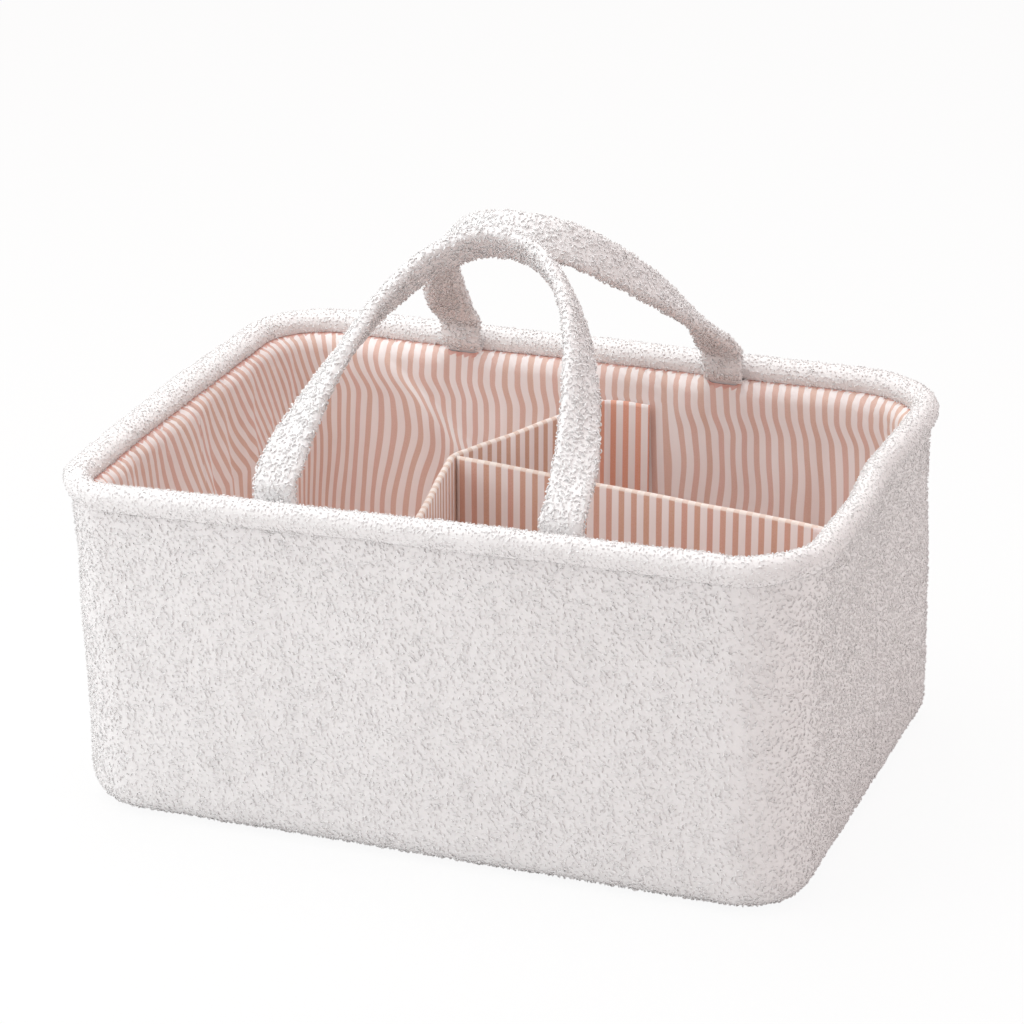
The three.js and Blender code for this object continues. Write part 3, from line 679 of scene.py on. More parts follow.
def arch(name, turn, aside, radius, yarn):
    """One loop of terry yarn: a ring of few sides, swept over in an arch whose feet are in the cloth"""
    bm = bmesh.new()
    ring = bmesh.ops.create_circle(bm, segments=3, radius=yarn)["verts"]
    bmesh.ops.translate(bm, verts=ring, vec=(radius, 0, 0))
    steps = 4
    bmesh.ops.spin(bm, geom=list(bm.edges), cent=(0, 0, 0), axis=(0, -1, 0), dvec=(0, aside / steps, 0),
                   angle=turn, steps=steps)
    bmesh.ops.holes_fill(bm, edges=[edge for edge in bm.edges if edge.is_boundary])
    bmesh.ops.recalc_face_normals(bm, faces=bm.faces)
    level = Matrix.Rotation((turn - math.pi) / 2, 3, "Y")
    bmesh.ops.rotate(bm, verts=bm.verts, cent=(0, 0, 0), matrix=level)
    bmesh.ops.translate(bm, verts=bm.verts, vec=(0, -aside / 2, -0.25 * MM - radius * math.cos(turn / 2)))
    mesh = bpy.data.meshes.new(name)
    bm.to_mesh(mesh)
    bm.free()
    mesh.shade_smooth()
    bpy.context.scene.collection.objects.link(bpy.data.objects.new(name, mesh))


LOOPS = ("round_loop", "open_loop", "tight_loop")
# least distance between the loops of a pile, and their size as a share of the modelled loops
WALL_PILE = (1.95 * MM, 0.8)
RIM_PILE = (1.6 * MM, 0.62)
STRAP_PILE = (1.65 * MM, 0.9)
PILE_LEAN = 0.8  # radians that a loop may lean to any side
SECTOR_EDGE = 0.0001  # a row of points where two sectors of the pile meet belongs to the later one


def make_loops():
    """Three loops of different shape that the pile is made of"""
    radius, yarn = 0.85 * MM, 0.48 * MM
    arch("round_loop", math.radians(230), 0.7 * MM, radius, yarn)
    arch("open_loop", math.radians(200), 0.4 * MM, 1.3 * radius, yarn)
    arch("tight_loop", math.radians(250), 1.2 * MM, 0.8 * radius, yarn)


def pile_on(ground, spacing, size, seed, sector):
    """A sector of the pile: loops spread evenly over the ground, leaning and scaled by chance"""
    def grow(recipe, mesh):
        pile = recipe.value("GeometryNodeInputNamedAttribute", {"data_type": "FLOAT"}, {"Name": "pile"})
        around = recipe.value("GeometryNodeInputNamedAttribute", {"data_type": "FLOAT"}, {"Name": "around"})
        inside = (around > sector[0]) * (around < sector[1])
        points = recipe.node("GeometryNodeDistributePointsOnFaces", {"distribute_method": "POISSON"}, {
            "Mesh": mesh, "Distance Min": spacing, "Density Max": 1.6 / spacing ** 2,
            "Density Factor": pile * inside, "Seed": seed})
        shapes = []
        for title in LOOPS:
            inputs = {"Object": bpy.data.objects[title], "As Instance": True}
            shapes.append(recipe.node("GeometryNodeObjectInfo", None, inputs).outputs["Geometry"])
        choice = recipe.node("GeometryNodeJoinGeometry", None, {0: shapes})
        tilt = recipe.node("FunctionNodeRandomValue", {"data_type": "FLOAT_VECTOR"}, {
            0: (-PILE_LEAN, -PILE_LEAN, -math.pi), 1: (PILE_LEAN, PILE_LEAN, math.pi), "Seed": seed + 1})
        tilted = recipe.node("FunctionNodeEulerToRotation", None, {0: tilt.outputs[0]})
        turned = recipe.node("FunctionNodeRotateRotation", {"rotation_space": "LOCAL"}, {
            "Rotation": points.outputs["Rotation"], "Rotate By": tilted.outputs[0]})
        scale = recipe.node("FunctionNodeRandomValue", {"data_type": "FLOAT"}, {
            2: 0.7 * size, 3: 1.3 * size, "Seed": seed + 2})
        placed = recipe.node("GeometryNodeInstanceOnPoints", None, {
            "Points": points.outputs["Points"], "Instance": choice.outputs[0], "Pick Instance": True,
            "Rotation": turned.outputs[0], "Scale": scale.outputs[1]})
        shade = recipe.node("FunctionNodeRandomValue", {"data_type": "FLOAT"}, {
            2: 0.25, 3: 1.0, "Seed": seed + 3})
        on_loops = {"data_type": "FLOAT", "domain": "INSTANCE"}
        stored = recipe.node("GeometryNodeStoreNamedAttribute", on_loops, {
            "Geometry": placed.outputs[0], "Name": "tone", "Value": shade.outputs[1]})
        return recipe.node("GeometryNodeRealizeInstances", None, {0: stored.outputs[0]}).outputs[0]

    return grown(ground, "pile", grow)


def add_pile(name, ground, body, pile, seed, sectors, bend=None):
    """The pile of one piece, in as many sectors as keep each mesh small"""
    spacing, size = pile
    made = []
    for number in range(sectors):
        last = number == sectors - 1
        sector = (number / sectors - SECTOR_EDGE, (number + 1) / sectors - SECTOR_EDGE + last)
        mesh = pile_on(ground, spacing, size, seed + 10 * number, sector)
        title = name if sectors == 1 else f"{name}_{number + 1}"
        mesh.name = title
        piece = linked(title, mesh, bpy.data.materials["looped_terry"])
        if bend:
            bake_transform(piece)
        else:
            settle(piece, body)
        made.append(piece)
    return made


# how deep the side seams pull the terry in, and how far round
SEAM_TUCK, SEAM_REACH = 1.3 * MM, 2.2 * MM
# the wall's broad unevenness, and its finer one
WALL_WAVE, WALL_SOFTNESS = 0.9 * MM, 0.6 * MM
# the wall leans out between these distances below the roll's middle
FLARE_BELOW = (48 * MM, 12 * MM)
LEAST_TERRY = 0.6 * MM  # thickness that the terry keeps where it is pressed in
# before a board, the terry's face stays this far outside its inner side's usual place
FACE_MARGIN = 0.35 * MM
INNER_GIVE = 0.15 * MM  # how far the inner side itself may move in there


def outer_half(plan, half):
    """Closed shell of one half of the wall: up its face, over the top and down inside"""
    basket = plan.basket
    start, end = plan.seams(half)
    outer = -basket.wall_outset + basket.pile
    inner = basket.terry - basket.wall_outset
    under = basket.edge_rounding - basket.wall_outset
    rounding = basket.edge_rounding
    top = basket.rim_height - basket.roll_radius / 2
    centre = (under, rounding)
    lift = basket.pile
    face = [*arc(centre, rounding - lift, 270, 180, 8), (outer, top)]
    back = [(inner, top), *arc(centre, rounding - basket.terry, 180, 270, 5)]
    lines = [(face, 98), ([face[-1], back[0]], 1), (back, 12), ([back[-1], face[0]], 1)]

    def shape(u, v):
        run = start + (end - start) * u
        section, line = stretches(v, lines)
        inset, height = section[:, 0], section[:, 1]
        to_seam = np.minimum(run - start, end - run)
        tuck = SEAM_TUCK * np.exp(-(to_seam / SEAM_REACH) ** 2)
        body = smooth(height, 4 * MM, 40 * MM) * smooth(-height, -basket.rim_height, -130 * MM)
        wave = WALL_WAVE * drift(3, run / (55 * MM), height / (60 * MM)) * body
        flare_start, flare_end = (basket.rim_height - below for below in FLARE_BELOW)
        lean_out = basket.flare * smooth(height, flare_start, flare_end)
        soft = WALL_SOFTNESS * drift(4, run / (26 * MM), height / (200 * MM)) * smooth(-height, -20 * MM, 0)
        lifted = smooth(height, 0, 4 * MM) * (line == 0)
        pressed = np.minimum(tuck - lean_out + soft, inner - outer - LEAST_TERRY)
        place = plan.place_at(run)
        before_board = np.where(line == 0, inner - outer - FACE_MARGIN, INNER_GIVE)
        room = before_board - plan.carried_in(place, height)
        shift = np.minimum(wave + pressed * lifted, room)
        points = plan.points(place, inset + shift, height)
        under_roll = smooth(-height, -(basket.rim_height - 3.0 * MM), -(basket.rim_height - 5.0 * MM))
        return points, np.column_stack([run, height]), under_roll * (line == 0)

    columns = int((end - start) / (1.9 * MM))
    return laid_grid(f"outer_{half}", columns, 112, shape, welded=True, capped=True)


def underside(plan):
    """The base panel, laid from its middle out to the walls"""
    basket = plan.basket
    edge = basket.edge_rounding - basket.wall_outset + 0.3 * MM

    def shape(u, v):
        rim = plan.points(u * plan.PLACES, edge, 0.0)
        points = rim * v[:, None]
        points[:, 2] = 0.7 * basket.pile + 0.3 * MM * (1 - smooth(v, 0.0, 0.9))
        return points, points[:, :2], 0.0

    return laid_grid("outer_base", 96, 24, shape, welded=True, facing=(0, 0, -1))


def rim_section(basket, radius, wall):
    """Outer and inner arcs of the roll, open below where the walls go in"""
    inside = radius - wall
    inner_lip = -math.degrees(math.acos((basket.terry - basket.wall_outset) / inside)) + 2
    outer_lip = 360 - math.degrees(math.acos(-(basket.wall_outset + 0.3 * MM) / inside))
    face = arc((0, basket.rim_height), radius, inner_lip, outer_lip, 40)
    back = arc((0, basket.rim_height), inside, outer_lip, inner_lip, 20)
    return face, back


RIM_FLAT = 0.88  # how much of its round the roll keeps on its outer side
RIM_SWAY = 0.5 * MM


def rim_cover(plan):
    """The roll's terry: lumpy, flatter outside, and wider inside on the left wall"""
    basket = plan.basket
    face, back = rim_section(basket, basket.roll_radius - basket.pile, basket.terry - basket.pile)
    lines = [(face, 32), ([face[-1], back[0]], 1), (back, 9), ([back[-1], face[0]], 1)]

    def shape(u, v):
        run = plan.round * u
        section, line = stretches(v, lines)
        lump = 1 + 0.035 * drift(11, u * 32, v * 0, 32) + 0.02 * drift(12, u * 64, v * 6, 64, 6)
        middle = np.array([0.0, basket.rim_height])
        sway = RIM_SWAY * drift(13, u * 16, v * 0, 16)
        swollen = np.where((line == 0) & (v > 0), lump, 1.0)[:, None]
        section = middle + (section - middle) * swollen
        place = plan.place_at(run)
        section[:, 0] *= np.where(section[:, 0] < 0, RIM_FLAT, plan.swell(place))
        points = plan.points(place, section[:, 0] + sway, section[:, 1])
        return points, np.column_stack([run, v]), np.where(line == 0, 1.0, 0.0)

    return laid_grid("rim_roll", int(plan.round / (1.8 * MM)), 43, shape, welded=True)


def rim_padding(plan):
    """The roll's filling, inside its terry"""
    basket = plan.basket
    radius = basket.roll_radius - basket.terry - 0.7 * MM

    def shape(u, v):
        bearing = math.tau * v
        swell = radius * (1 + 0.04 * drift(21, u * 64, v * 6, 64, 6))
        run = plan.round * u
        height = basket.rim_height + swell * np.sin(bearing)
        points = plan.points(plan.place_at(run), swell * np.cos(bearing), height)
        return points, np.column_stack([run, v]), 0.0

    return laid_grid("rim_padding", 300, 14, shape, welded=True)


FOLDS = [
    # wall, place along it as a share, widths before and after the crest, crest and lean in millimetres
    ("back", -0.84, 9, 9, 2.6, 6),
    ("back", -0.70, 24, 4, 7.0, 165),
    ("back", -0.30, 12, 12, 2.4, 10),
    ("back", -0.12, 9, 9, 1.6, -6),
    ("back", 0.30, 20, 8, 3.2, 14),
    ("back", 0.54, 10, 10, 2.4, 8),
    ("back", 0.78, 14, 10, 2.2, 0),
    ("left", 0.80, 18, 9, 3.0, -6),
    ("left", 0.46, 24, 9, 4.0, 14),
    ("left", 0.22, 20, 9, 3.4, 20),
    ("left", -0.10, 42, 19, 6.4, 46),
    ("left", -0.62, 18, 9, 3.6, 16),
    ("left", -0.84, 12, 8, 2.6, 6),
    ("right", 0.55, 12, 12, 2.2, 4),
    ("right", -0.5, 12, 12, 2.4, -4),
    ("front", -0.7, 12, 12, 2.8, 8),
    ("front", -0.36, 12, 12, 2.6, -6),
    ("front", 0.2, 12, 12, 2.4, 6),
    ("front", 0.62, 14, 14, 2.6, 0),
]


def lining_folds(points, rise, basket):
    """How far the main folds stand off the wall"""
    half = {"x": basket.half_length, "y": basket.half_width}
    hanging = np.sin(math.pi * np.clip(rise, 0, 1)) ** 0.6
    depth = np.zeros(len(points))
    for wall, place, before, after, crest, lean in FOLDS:
        flat = wall in ("back", "front")
        facing = points[:, 1] / half["y"] if flat else points[:, 0] / half["x"]
        if wall in ("front", "left"):
            facing = -facing
        run = points[:, 0] if flat else points[:, 1]
        reach = half["x"] if flat else half["y"]
        away = run - place * reach - lean * MM * (1 - rise)
        away = away / (np.where(away < 0, before, after) * MM)
        strength = crest * MM * np.exp(-away * away) * np.clip(facing, 0, 1) ** 4
        depth = np.maximum(depth, strength)
    return depth * hanging


# round a flap the lining lies flat up to the first distance, and is free from the second on
FLAP_MARGIN = (8 * MM, 18 * MM)


def flap_nearness(points):
    """1 where a flap of the divider lies on the lining, and 0 away from it"""
    near = np.zeros(len(points))
    for node in ("divider_rear_flap", "divider_front_flap", "divider_stem_flap"):
        low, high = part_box(node)
        middle = np.array((low + high) / 2)[:2]
        reach = (high - low).xy.length / 2
        away = np.linalg.norm(points[:, :2] - middle, axis=1) - reach
        near = np.maximum(near, 1 - smooth(away, *FLAP_MARGIN))
    return near


def foot_nearness(points, basket, handles):
    """1 where a handle's sewn end comes out over the lining"""
    away = np.minimum(*(np.abs(points[:, 0] - handles.middle - side * handles.half_span) for side in (-1, 1)))
    near = 1 - smooth(away, handles.half_width - 4.2 * MM, handles.half_width - 0.6 * MM)
    return near * (np.abs(points[:, 1]) > basket.half_width / 2)


def taken_up(points, run, columns, reach):
    """How far the cloth's threads move along the wall where folds take up cloth, with the folds' own
    surroundings giving it"""
    grid = points.reshape(-1, columns, 3)
    steps = np.linalg.norm(np.diff(grid, axis=1), axis=2)
    spare = steps - steps.mean(axis=1, keepdims=True)
    moved = np.concatenate([np.zeros((len(grid), 1)), np.cumsum(spare, axis=1)], axis=1)
    span = int(reach / (run[1] - run[0])) | 1
    padded = np.pad(moved, ((0, 0), (span // 2, span // 2)), mode="edge")
    sums = np.cumsum(np.pad(padded, ((0, 0), (1, 0))), axis=1)
    mean = (sums[:, span:] - sums[:, :-span]) / span
    return (moved - mean).ravel()


def dragged(points, drop, basket, lining):
    """How far the stripes are dragged to the right at the left of the fold that slants over the back wall"""
    fold_start, fold_drop = -126 * MM, 10 * MM
    beside = points[:, 0] - fold_start - (drop - fold_drop)
    held = smooth(drop, 8 * MM, 34 * MM) * (1 - 0.6 * smooth(drop, 60 * MM, 140 * MM))
    on_back = np.clip(points[:, 1] / basket.half_width, 0, 1) ** 8
    on_back = on_back * smooth(points[:, 0], -basket.half_length, -basket.half_length + 40 * MM)
    return lining.drag * held * on_back * (1 - smooth(beside, -1 * MM, 7 * MM))


def gathered_edge(plan, place, board_top):
    """The lining's upper edge round the basket: 1 behind a handle's sewn end, 1 on the left wall, and the
    edge's inset and height"""
    basket, lining = plan.basket, settings("lining")
    roll = basket.roll_radius - basket.pile - 0.3 * MM
    rim = plan.points(place, lining.face_inset, basket.rim_height)
    foot = foot_nearness(rim, basket, settings("handles"))
    left = np.clip(-rim[:, 0] / (basket.half_length - lining.face_inset), 0, 1) ** 12
    sewn_at = lining.sewn_at + (lining.left_sewn_at - lining.sewn_at) * left
    below = np.minimum(roll * np.sin(sewn_at), rim[:, 2] - board_top - lining.over_board)
    below = np.maximum(below, 0.3 * roll)
    edge = plan.swell(place) * np.sqrt(roll ** 2 - below ** 2)
    edge = edge + (lining.face_inset - edge) * foot
    foot_top = lining.top - lining.foot_drop - (rim[:, 2] - basket.rim_height)
    top = basket.rim_height - below
    top = top + (foot_top - top) * foot
    return foot, left, edge, top


def stripes_carried(flat, height, rise, drop, left, spread, basket, lining):
    """How far the hanging cloth carries its stripes along the wall: it sways, kinks below the bulge, is
    dragged by the slanting fold and slants on the left wall"""
    sway = 4.0 * spread(4, 38, height / (40 * MM)) + 1.4 * spread(6, 16, height / (26 * MM))
    kink = smooth(drop, 15 * MM, 30 * MM) * (1 - smooth(drop, 42 * MM, 110 * MM))
    kink = kink * (3.4 + 1.6 * spread(7, 25)) * (1 - left)
    shift = MM * (sway * np.sin(math.pi * rise) + kink) + dragged(flat, drop, basket, lining)
    slant = lining.left_slant + lining.back_slant * smooth(flat[:, 1], -60 * MM, 100 * MM)
    return shift + slant * left * np.minimum(drop, 60 * MM)


LINING_SEED = 100
# least inset of the lining before a board, and what the left wall adds to it
BOARD_CLEAR, LEFT_CLEAR = 7.6 * MM, 2.2 * MM


def lining_half(plan, half):
    """One half of the lining: gathered under the roll, bulging below it, with long folds further down"""
    basket, lining = plan.basket, settings("lining")
    start, end = plan.seams(half)
    columns = int((end - start) / (1.6 * MM))
    board_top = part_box("left_wall_board")[1].z

    def shape(u, v):
        run = start + (end - start) * u
        rise = 1 - (1 - v) ** 1.5
        place = plan.place_at(run)

        def spread(number, pitch, row=0.0):
            """Chance along the cloth that meets itself after once round the basket"""
            count = round(plan.round / (pitch * MM))
            return drift(LINING_SEED + number, run * count / plan.round, run * 0 + row, count)

        foot, left, edge, top = gathered_edge(plan, place, board_top)
        height = lining.low + (top - lining.low) * rise
        flat = plan.points(place, lining.face_inset, height)
        drop = top - height
        bend = lining.bend + (lining.left_bend - lining.bend) * left
        bulge = lining.puff * (1 + 0.45 * spread(5, 21)) * (1 - 0.8 * foot)
        bulge = bulge * (1 - smooth(drop, bend, 36 * MM))
        by_flap = flap_nearness(flat)
        bulge = bulge * (1 - by_flap)
        arched = np.sqrt(1 - (1 - np.clip(drop / bend, 0, 1)) ** 2)
        inset = edge + (lining.face_inset + bulge - edge) * arched
        quiet = 1 - by_flap * smooth(-height, -158 * MM, -154 * MM)
        inset = inset + lining_folds(flat, rise, basket) * (1 - by_flap)
        loose = np.sin(math.pi * rise) ** 0.5
        wrinkle = 1.2 * spread(0, 11, height / (55 * MM)) + 0.6 * spread(1, 5, height / (30 * MM))
        inset = inset + MM * wrinkle * loose * (1 - 0.75 * by_flap)
        gathers = round(plan.round / lining.pleat)
        phase = math.tau * gathers * (run + 0.6 * drop) / plan.round + 1.6 * spread(2, 16)
        ridge = (2 * np.abs(np.sin(phase / 2)) - 1.2) * (1.0 + 0.5 * spread(3, 9))
        pleat = 0.6 * MM * np.exp(-drop / (2.4 * MM)) + 0.5 * MM * np.exp(-drop / (11 * MM))
        inset = inset + pleat * ridge * (1 - 0.8 * foot)
        clear = BOARD_CLEAR + LEFT_CLEAR * left
        inset = np.where(flat[:, 2] < board_top + 0.4 * MM, np.maximum(inset, clear), inset)
        room = lining.flap_room - plan.carried_in(place, height)
        inset = inset - by_flap * np.maximum(inset - room, 0)
        points = plan.points(place, inset, height)
        shift = stripes_carried(flat, height, rise, drop, left, spread, basket, lining)
        shift = shift + taken_up(points, run, columns + 1, 60 * MM)
        return points, np.column_stack([run + shift * quiet, -drop - 0.7 * np.maximum(inset - edge, 0)]), 0.0

    return laid_grid(f"lining_{half}", columns, 72, shape)


def lining_bottom(plan):
    """The lining's floor, with stripes from front to back"""
    floor_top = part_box("lining_floor")[1].z
    edge = plan.basket.roll_radius

    def shape(u, v):
        points = plan.points(u * plan.PLACES, edge, 0.0) * np.column_stack([v, v, v])
        ripple = 0.25 * MM * drift(31, points[:, 0] / (30 * MM) + 20, points[:, 1] / (30 * MM) + 20)
        points[:, 2] = floor_top - 0.25 * MM + ripple
        return points, points[:, :2], 0.0

    return laid_grid("lining_floor", 120, 24, shape, welded=True, facing=(0, 0, 1))


def lean_angle(handles, basket):
    """How far each handle leans inwards before the two crowns meet"""
    inset = basket.roll_radius + handles.gap + handles.half_thickness
    along = handles.rise + handles.half_thickness
    across = handles.half_width - handles.bevel
    stand = math.atan2(across, along) + math.acos(
        (basket.half_width - inset - handles.gap / 2) / math.hypot(along, across))
    return math.pi / 2 - stand


# heights from the bending line, below it for a minus: where the strap's face turns from upright to its
# lean, where the flat sewn end swells into the padded strap, and where the pile starts
FACE_TURNS, END_SWELLS, PILE_STARTS = (-4 * MM, 8 * MM), (-20 * MM, -9 * MM), (-19 * MM, -17 * MM)
FLAT_END = 1.2 * MM  # half the sewn end's thickness


class Strap:
    """A handle's padded strap, from one sewn end over the arch to the other"""

    def __init__(self, side):
        self.side = side  # -1 in front, 1 behind
        self.handles, self.basket = settings("handles"), settings("basket")
        handles = self.handles
        self.inset = self.basket.roll_radius + handles.gap + handles.half_thickness
        self.foot_height = (
            self.basket.rim_height + self.basket.roll_radius + handles.gap + handles.half_thickness)
        self.lean = lean_angle(handles, self.basket)
        self.leg()
        self.tail()

    def leg(self):
        """One leg of the arch, standing upright, from the bending line to the crown"""
        handles = self.handles
        knots = np.array([
            (handles.half_span, 0), (handles.half_span, handles.rise * handles.foot_upright),
            (handles.half_span * handles.crown_width, handles.rise), (0, handles.rise)])
        t = np.linspace(0, 1, 400)[:, None]
        line = (1 - t) ** 3 * knots[0] + 3 * (1 - t) ** 2 * t * knots[1] + 3 * (1 - t) * t ** 2 * knots[2]
        line = line + t ** 3 * knots[3]
        self.leg_line = line
        self.leg_marks = np.concatenate([[0], np.cumsum(np.linalg.norm(np.diff(line, axis=0), axis=1))])
        self.leg_length = float(self.leg_marks[-1])

    def leg_at(self, reach):
        """Sideways and upwards place on the leg, at distances from the bending line"""
        return np.array([np.interp(reach, self.leg_marks, part) for part in self.leg_line.T])

    def tail(self):
        """The sewn end below the bending line: inset and height, from its lower edge up"""
        seam = self.basket.rim_height - 7 * MM
        self.tail_line = np.array([
            (7.6 * MM, seam - 19 * MM), (7.6 * MM, seam - 2 * MM), (8.6 * MM, seam + 1.5 * MM),
            (self.inset - 0.8 * MM, seam + 5.5 * MM), (self.inset, seam + 9 * MM),
            (self.inset, self.foot_height)])
        marks = np.linalg.norm(np.diff(self.tail_line, axis=0), axis=1)
        self.tail_length = float(marks.sum())

    def frames(self, reach):
        """Middle, width and thickness directions at distances along the strap, 0 at the crown"""
        away = self.leg_length - np.abs(reach)
        hand = np.sign(reach) + (reach == 0)
        on_leg = np.clip(away, 0, None)
        x, z = self.leg_at(on_leg)
        step = 0.5 * MM
        ahead, behind = np.clip(on_leg + step, 0, self.leg_length), np.clip(on_leg - step, 0, None)
        dx, dz = self.leg_at(ahead) - self.leg_at(behind)
        size = np.hypot(dx, dz)
        zero = np.zeros_like(x)
        outward = np.column_stack([hand * dz / size, zero, -dx / size])
        handles = self.handles
        twisted = np.clip((on_leg - handles.twist_start) / (self.leg_length - handles.twist_start), 0, None)
        twist = (math.pi / 2) * np.sin((math.pi / 2) * twisted ** handles.twist_power)
        facing = np.array([0.0, -1.0, 0.0])
        across = outward * np.cos(twist)[:, None] - facing * np.sin(twist)[:, None]
        through = facing * np.cos(twist)[:, None] + outward * np.sin(twist)[:, None]
        middle = np.column_stack([hand * x, zero, z])
        turn = np.array(Matrix.Rotation(-self.lean, 3, "X"))
        middle, across, through = (part @ turn.T for part in (middle, across, through))
        middle = middle + np.array([0, self.inset - self.basket.half_width, self.foot_height])
        below = away < 0
        sewn = along_line(self.tail_line, np.clip(1 + away[below] / self.tail_length, 0, 1))
        middle[below] = np.column_stack([
            hand[below] * handles.half_span, sewn[:, 0] - self.basket.half_width, sewn[:, 1]])
        across[below] = np.column_stack([hand[below], zero[below], zero[below]])
        through[below] = facing
        leaning = smooth(away, *FACE_TURNS)[:, None]
        turning = facing * (1 - leaning) + through * leaning
        through = np.where(away[:, None] < FACE_TURNS[1], turning, through)
        if self.side > 0:
            for part in (middle, across, through):
                part[:, :2] *= -1
        middle[:, 0] += handles.middle
        return middle, across, through, away

    def mesh(self, name, skin, around, step):
        """The strap, or its padding, made smaller by a skin and kept above the seam"""
        handles = self.handles
        reach = self.leg_length + (self.tail_length if not skin else -2 * MM)

        def shape(u, v):
            middle, across, through, away = self.frames((u * 2 - 1) * reach)
            bearing = math.tau * v
            pile_room = self.basket.pile * 0.8
            width = handles.half_width - skin - pile_room
            thick = handles.half_thickness - skin - pile_room
            pressed = smooth(away, *END_SWELLS)
            thick = FLAT_END + (thick - FLAT_END) * pressed
            soft = 1 + 0.05 * drift(41 + self.side, u * 34, v * 4, 64, 4) * pressed
            edge = np.sign(np.cos(bearing)) * np.abs(np.cos(bearing)) ** 0.62
            crown = np.sign(np.sin(bearing)) * np.abs(np.sin(bearing)) ** 0.72
            points = middle + across * (edge * width * soft)[:, None]
            points = points + through * (crown * thick * soft)[:, None]
            cloth = np.column_stack([u * 2 * reach, v * 4 * width])
            return points, cloth, 0.0 if skin else smooth(away, *PILE_STARTS)

        columns = int(2 * reach / step)
        return laid_grid(name, columns, around, shape, welded=True, capped=True)

    def bend(self):
        """Bodies on either side of the rim, and points below and above the strap's bending line there"""
        body = "front_handle" if self.side < 0 else "back_handle"
        reach = self.handles.bend_reach
        y = (self.basket.half_width - self.inset) * self.side
        lean = -self.side * math.sin(self.lean)
        middle = Vector((self.handles.middle, y, self.foot_height))
        way = Vector((0, lean * 0.5, 1)).normalized()
        return "basket", body, tuple(middle - way * reach * 0.7), tuple(middle + way * reach)


def rounded(points, radius, steps=8):
    """A line in plan whose inner corners are rounded"""
    line = [np.array(points[0], float)]
    for before, corner, after in zip(points, points[1:], points[2:]):
        before, corner, after = (np.array(point, float) for point in (before, corner, after))
        back = (before - corner) / np.linalg.norm(before - corner)
        on = (after - corner) / np.linalg.norm(after - corner)
        for t in np.linspace(0, 1, steps + 1):
            line.append(corner + back * radius * (1 - t) ** 2 + on * radius * t ** 2)
    line.append(np.array(points[-1], float))
    return np.array(line)


def leftwards(line, part, step):
    """Unit steps to the left of a line in plan, at shares of its length"""
    ahead = along_line(line, np.clip(part + step, 0, 1)) - along_line(line, np.clip(part - step, 0, 1))
    ahead = ahead / np.linalg.norm(ahead, axis=1)[:, None]
    return np.column_stack([-ahead[:, 1], ahead[:, 0]])


SEWN_SHARE = 0.35  # how much of its thickness a cover keeps at its sewn ends


def fold_cover(name, plan_line, half, top, low, seed):
    """Cotton folded over a board: up one face, over the top edge and down the other"""
    divider = settings("divider")
    steps = np.linalg.norm(np.diff(plan_line, axis=0), axis=1)
    reach = float(steps.sum())
    over = [(half * math.cos(b), half * math.sin(b)) for b in np.radians(np.linspace(0, 180, 9))]
    side = top - half - low
    section = [(half, -side), *over, (-half, -side)]
    lines = [([section[0], section[1]], 10), (over, 8), ([section[-2], section[-1]], 10)]

    def shape(u, v):
        middle = along_line(plan_line, u)
        left = leftwards(plan_line, u, 0.002)
        across, line = stretches(v, lines)
        run = u * reach
        from_end = np.minimum(run, reach - run)
        pressed = SEWN_SHARE + (1 - SEWN_SHARE) * smooth(from_end, 0, divider.sewn_end)
        wave = 0.35 * MM * drift(seed, run / (30 * MM), across[:, 1] / (50 * MM))
        sag = 0.5 * MM * drift(seed + 1, run / (24 * MM), run * 0)
        out = across[:, 0] * pressed + wave
        height = top - half + across[:, 1] + sag * (line == 1)
        points = np.column_stack([middle + left * out[:, None], height])
        return points, np.column_stack([run, v * 2 * side]), 0.0

    columns = int(reach / (1.6 * MM))
    return laid_grid(name, columns, 28, shape)


def flap_strip(name, root, out, along, fold, reach, low, top, seed):
    """A flap that starts on its panel's face, turns the corner and lies along the wall"""
    corner = np.array(root)
    line = rounded([corner - np.array(out) * fold, corner, corner + np.array(along) * reach], 3 * MM)
    steps = np.linalg.norm(np.diff(line, axis=0), axis=1)
    total = float(steps.sum())

    def shape(u, v):
        middle = along_line(line, u)
        run = u * total
        height = low + (top - low) * v + 0.7 * MM * drift(seed, run / (9 * MM), run * 0) * v
        left = leftwards(line, u, 0.01)
        wave = 0.25 * MM * drift(seed + 1, run / (10 * MM), height / (40 * MM))
        points = np.column_stack([middle + left * wave[:, None], height])
        return points, np.column_stack([run, height]), 0.0

    return laid_grid(name, 40, 60, shape)


class CADDY_OT_walls(bpy.types.Operator):
    """Make the outer terry walls, the base and their loops"""

    bl_idname = "caddy.walls"
    bl_label = "Terry walls"

    def execute(self, context):
        plan, basket = Plan(), settings("basket")
        terry = bpy.data.materials["looped_terry"]
        for number, half in enumerate(("front", "back")):
            wall = linked(f"outer_{half}", outer_half(plan, half), terry)
            roughen(wall, basket.pile)
            settle(wall, "basket", [f"outer_{half}_panel"])
            start, end = plan.seams(half)
            pile = add_pile(f"outer_{half}_pile", wall, "basket", WALL_PILE, 5 + number, 4)
        base = linked("outer_base", underside(plan), terry)
        thickened(base, basket.terry - basket.pile)
        settle(base, "basket", ["outer_base_panel"])
        return {"FINISHED"}


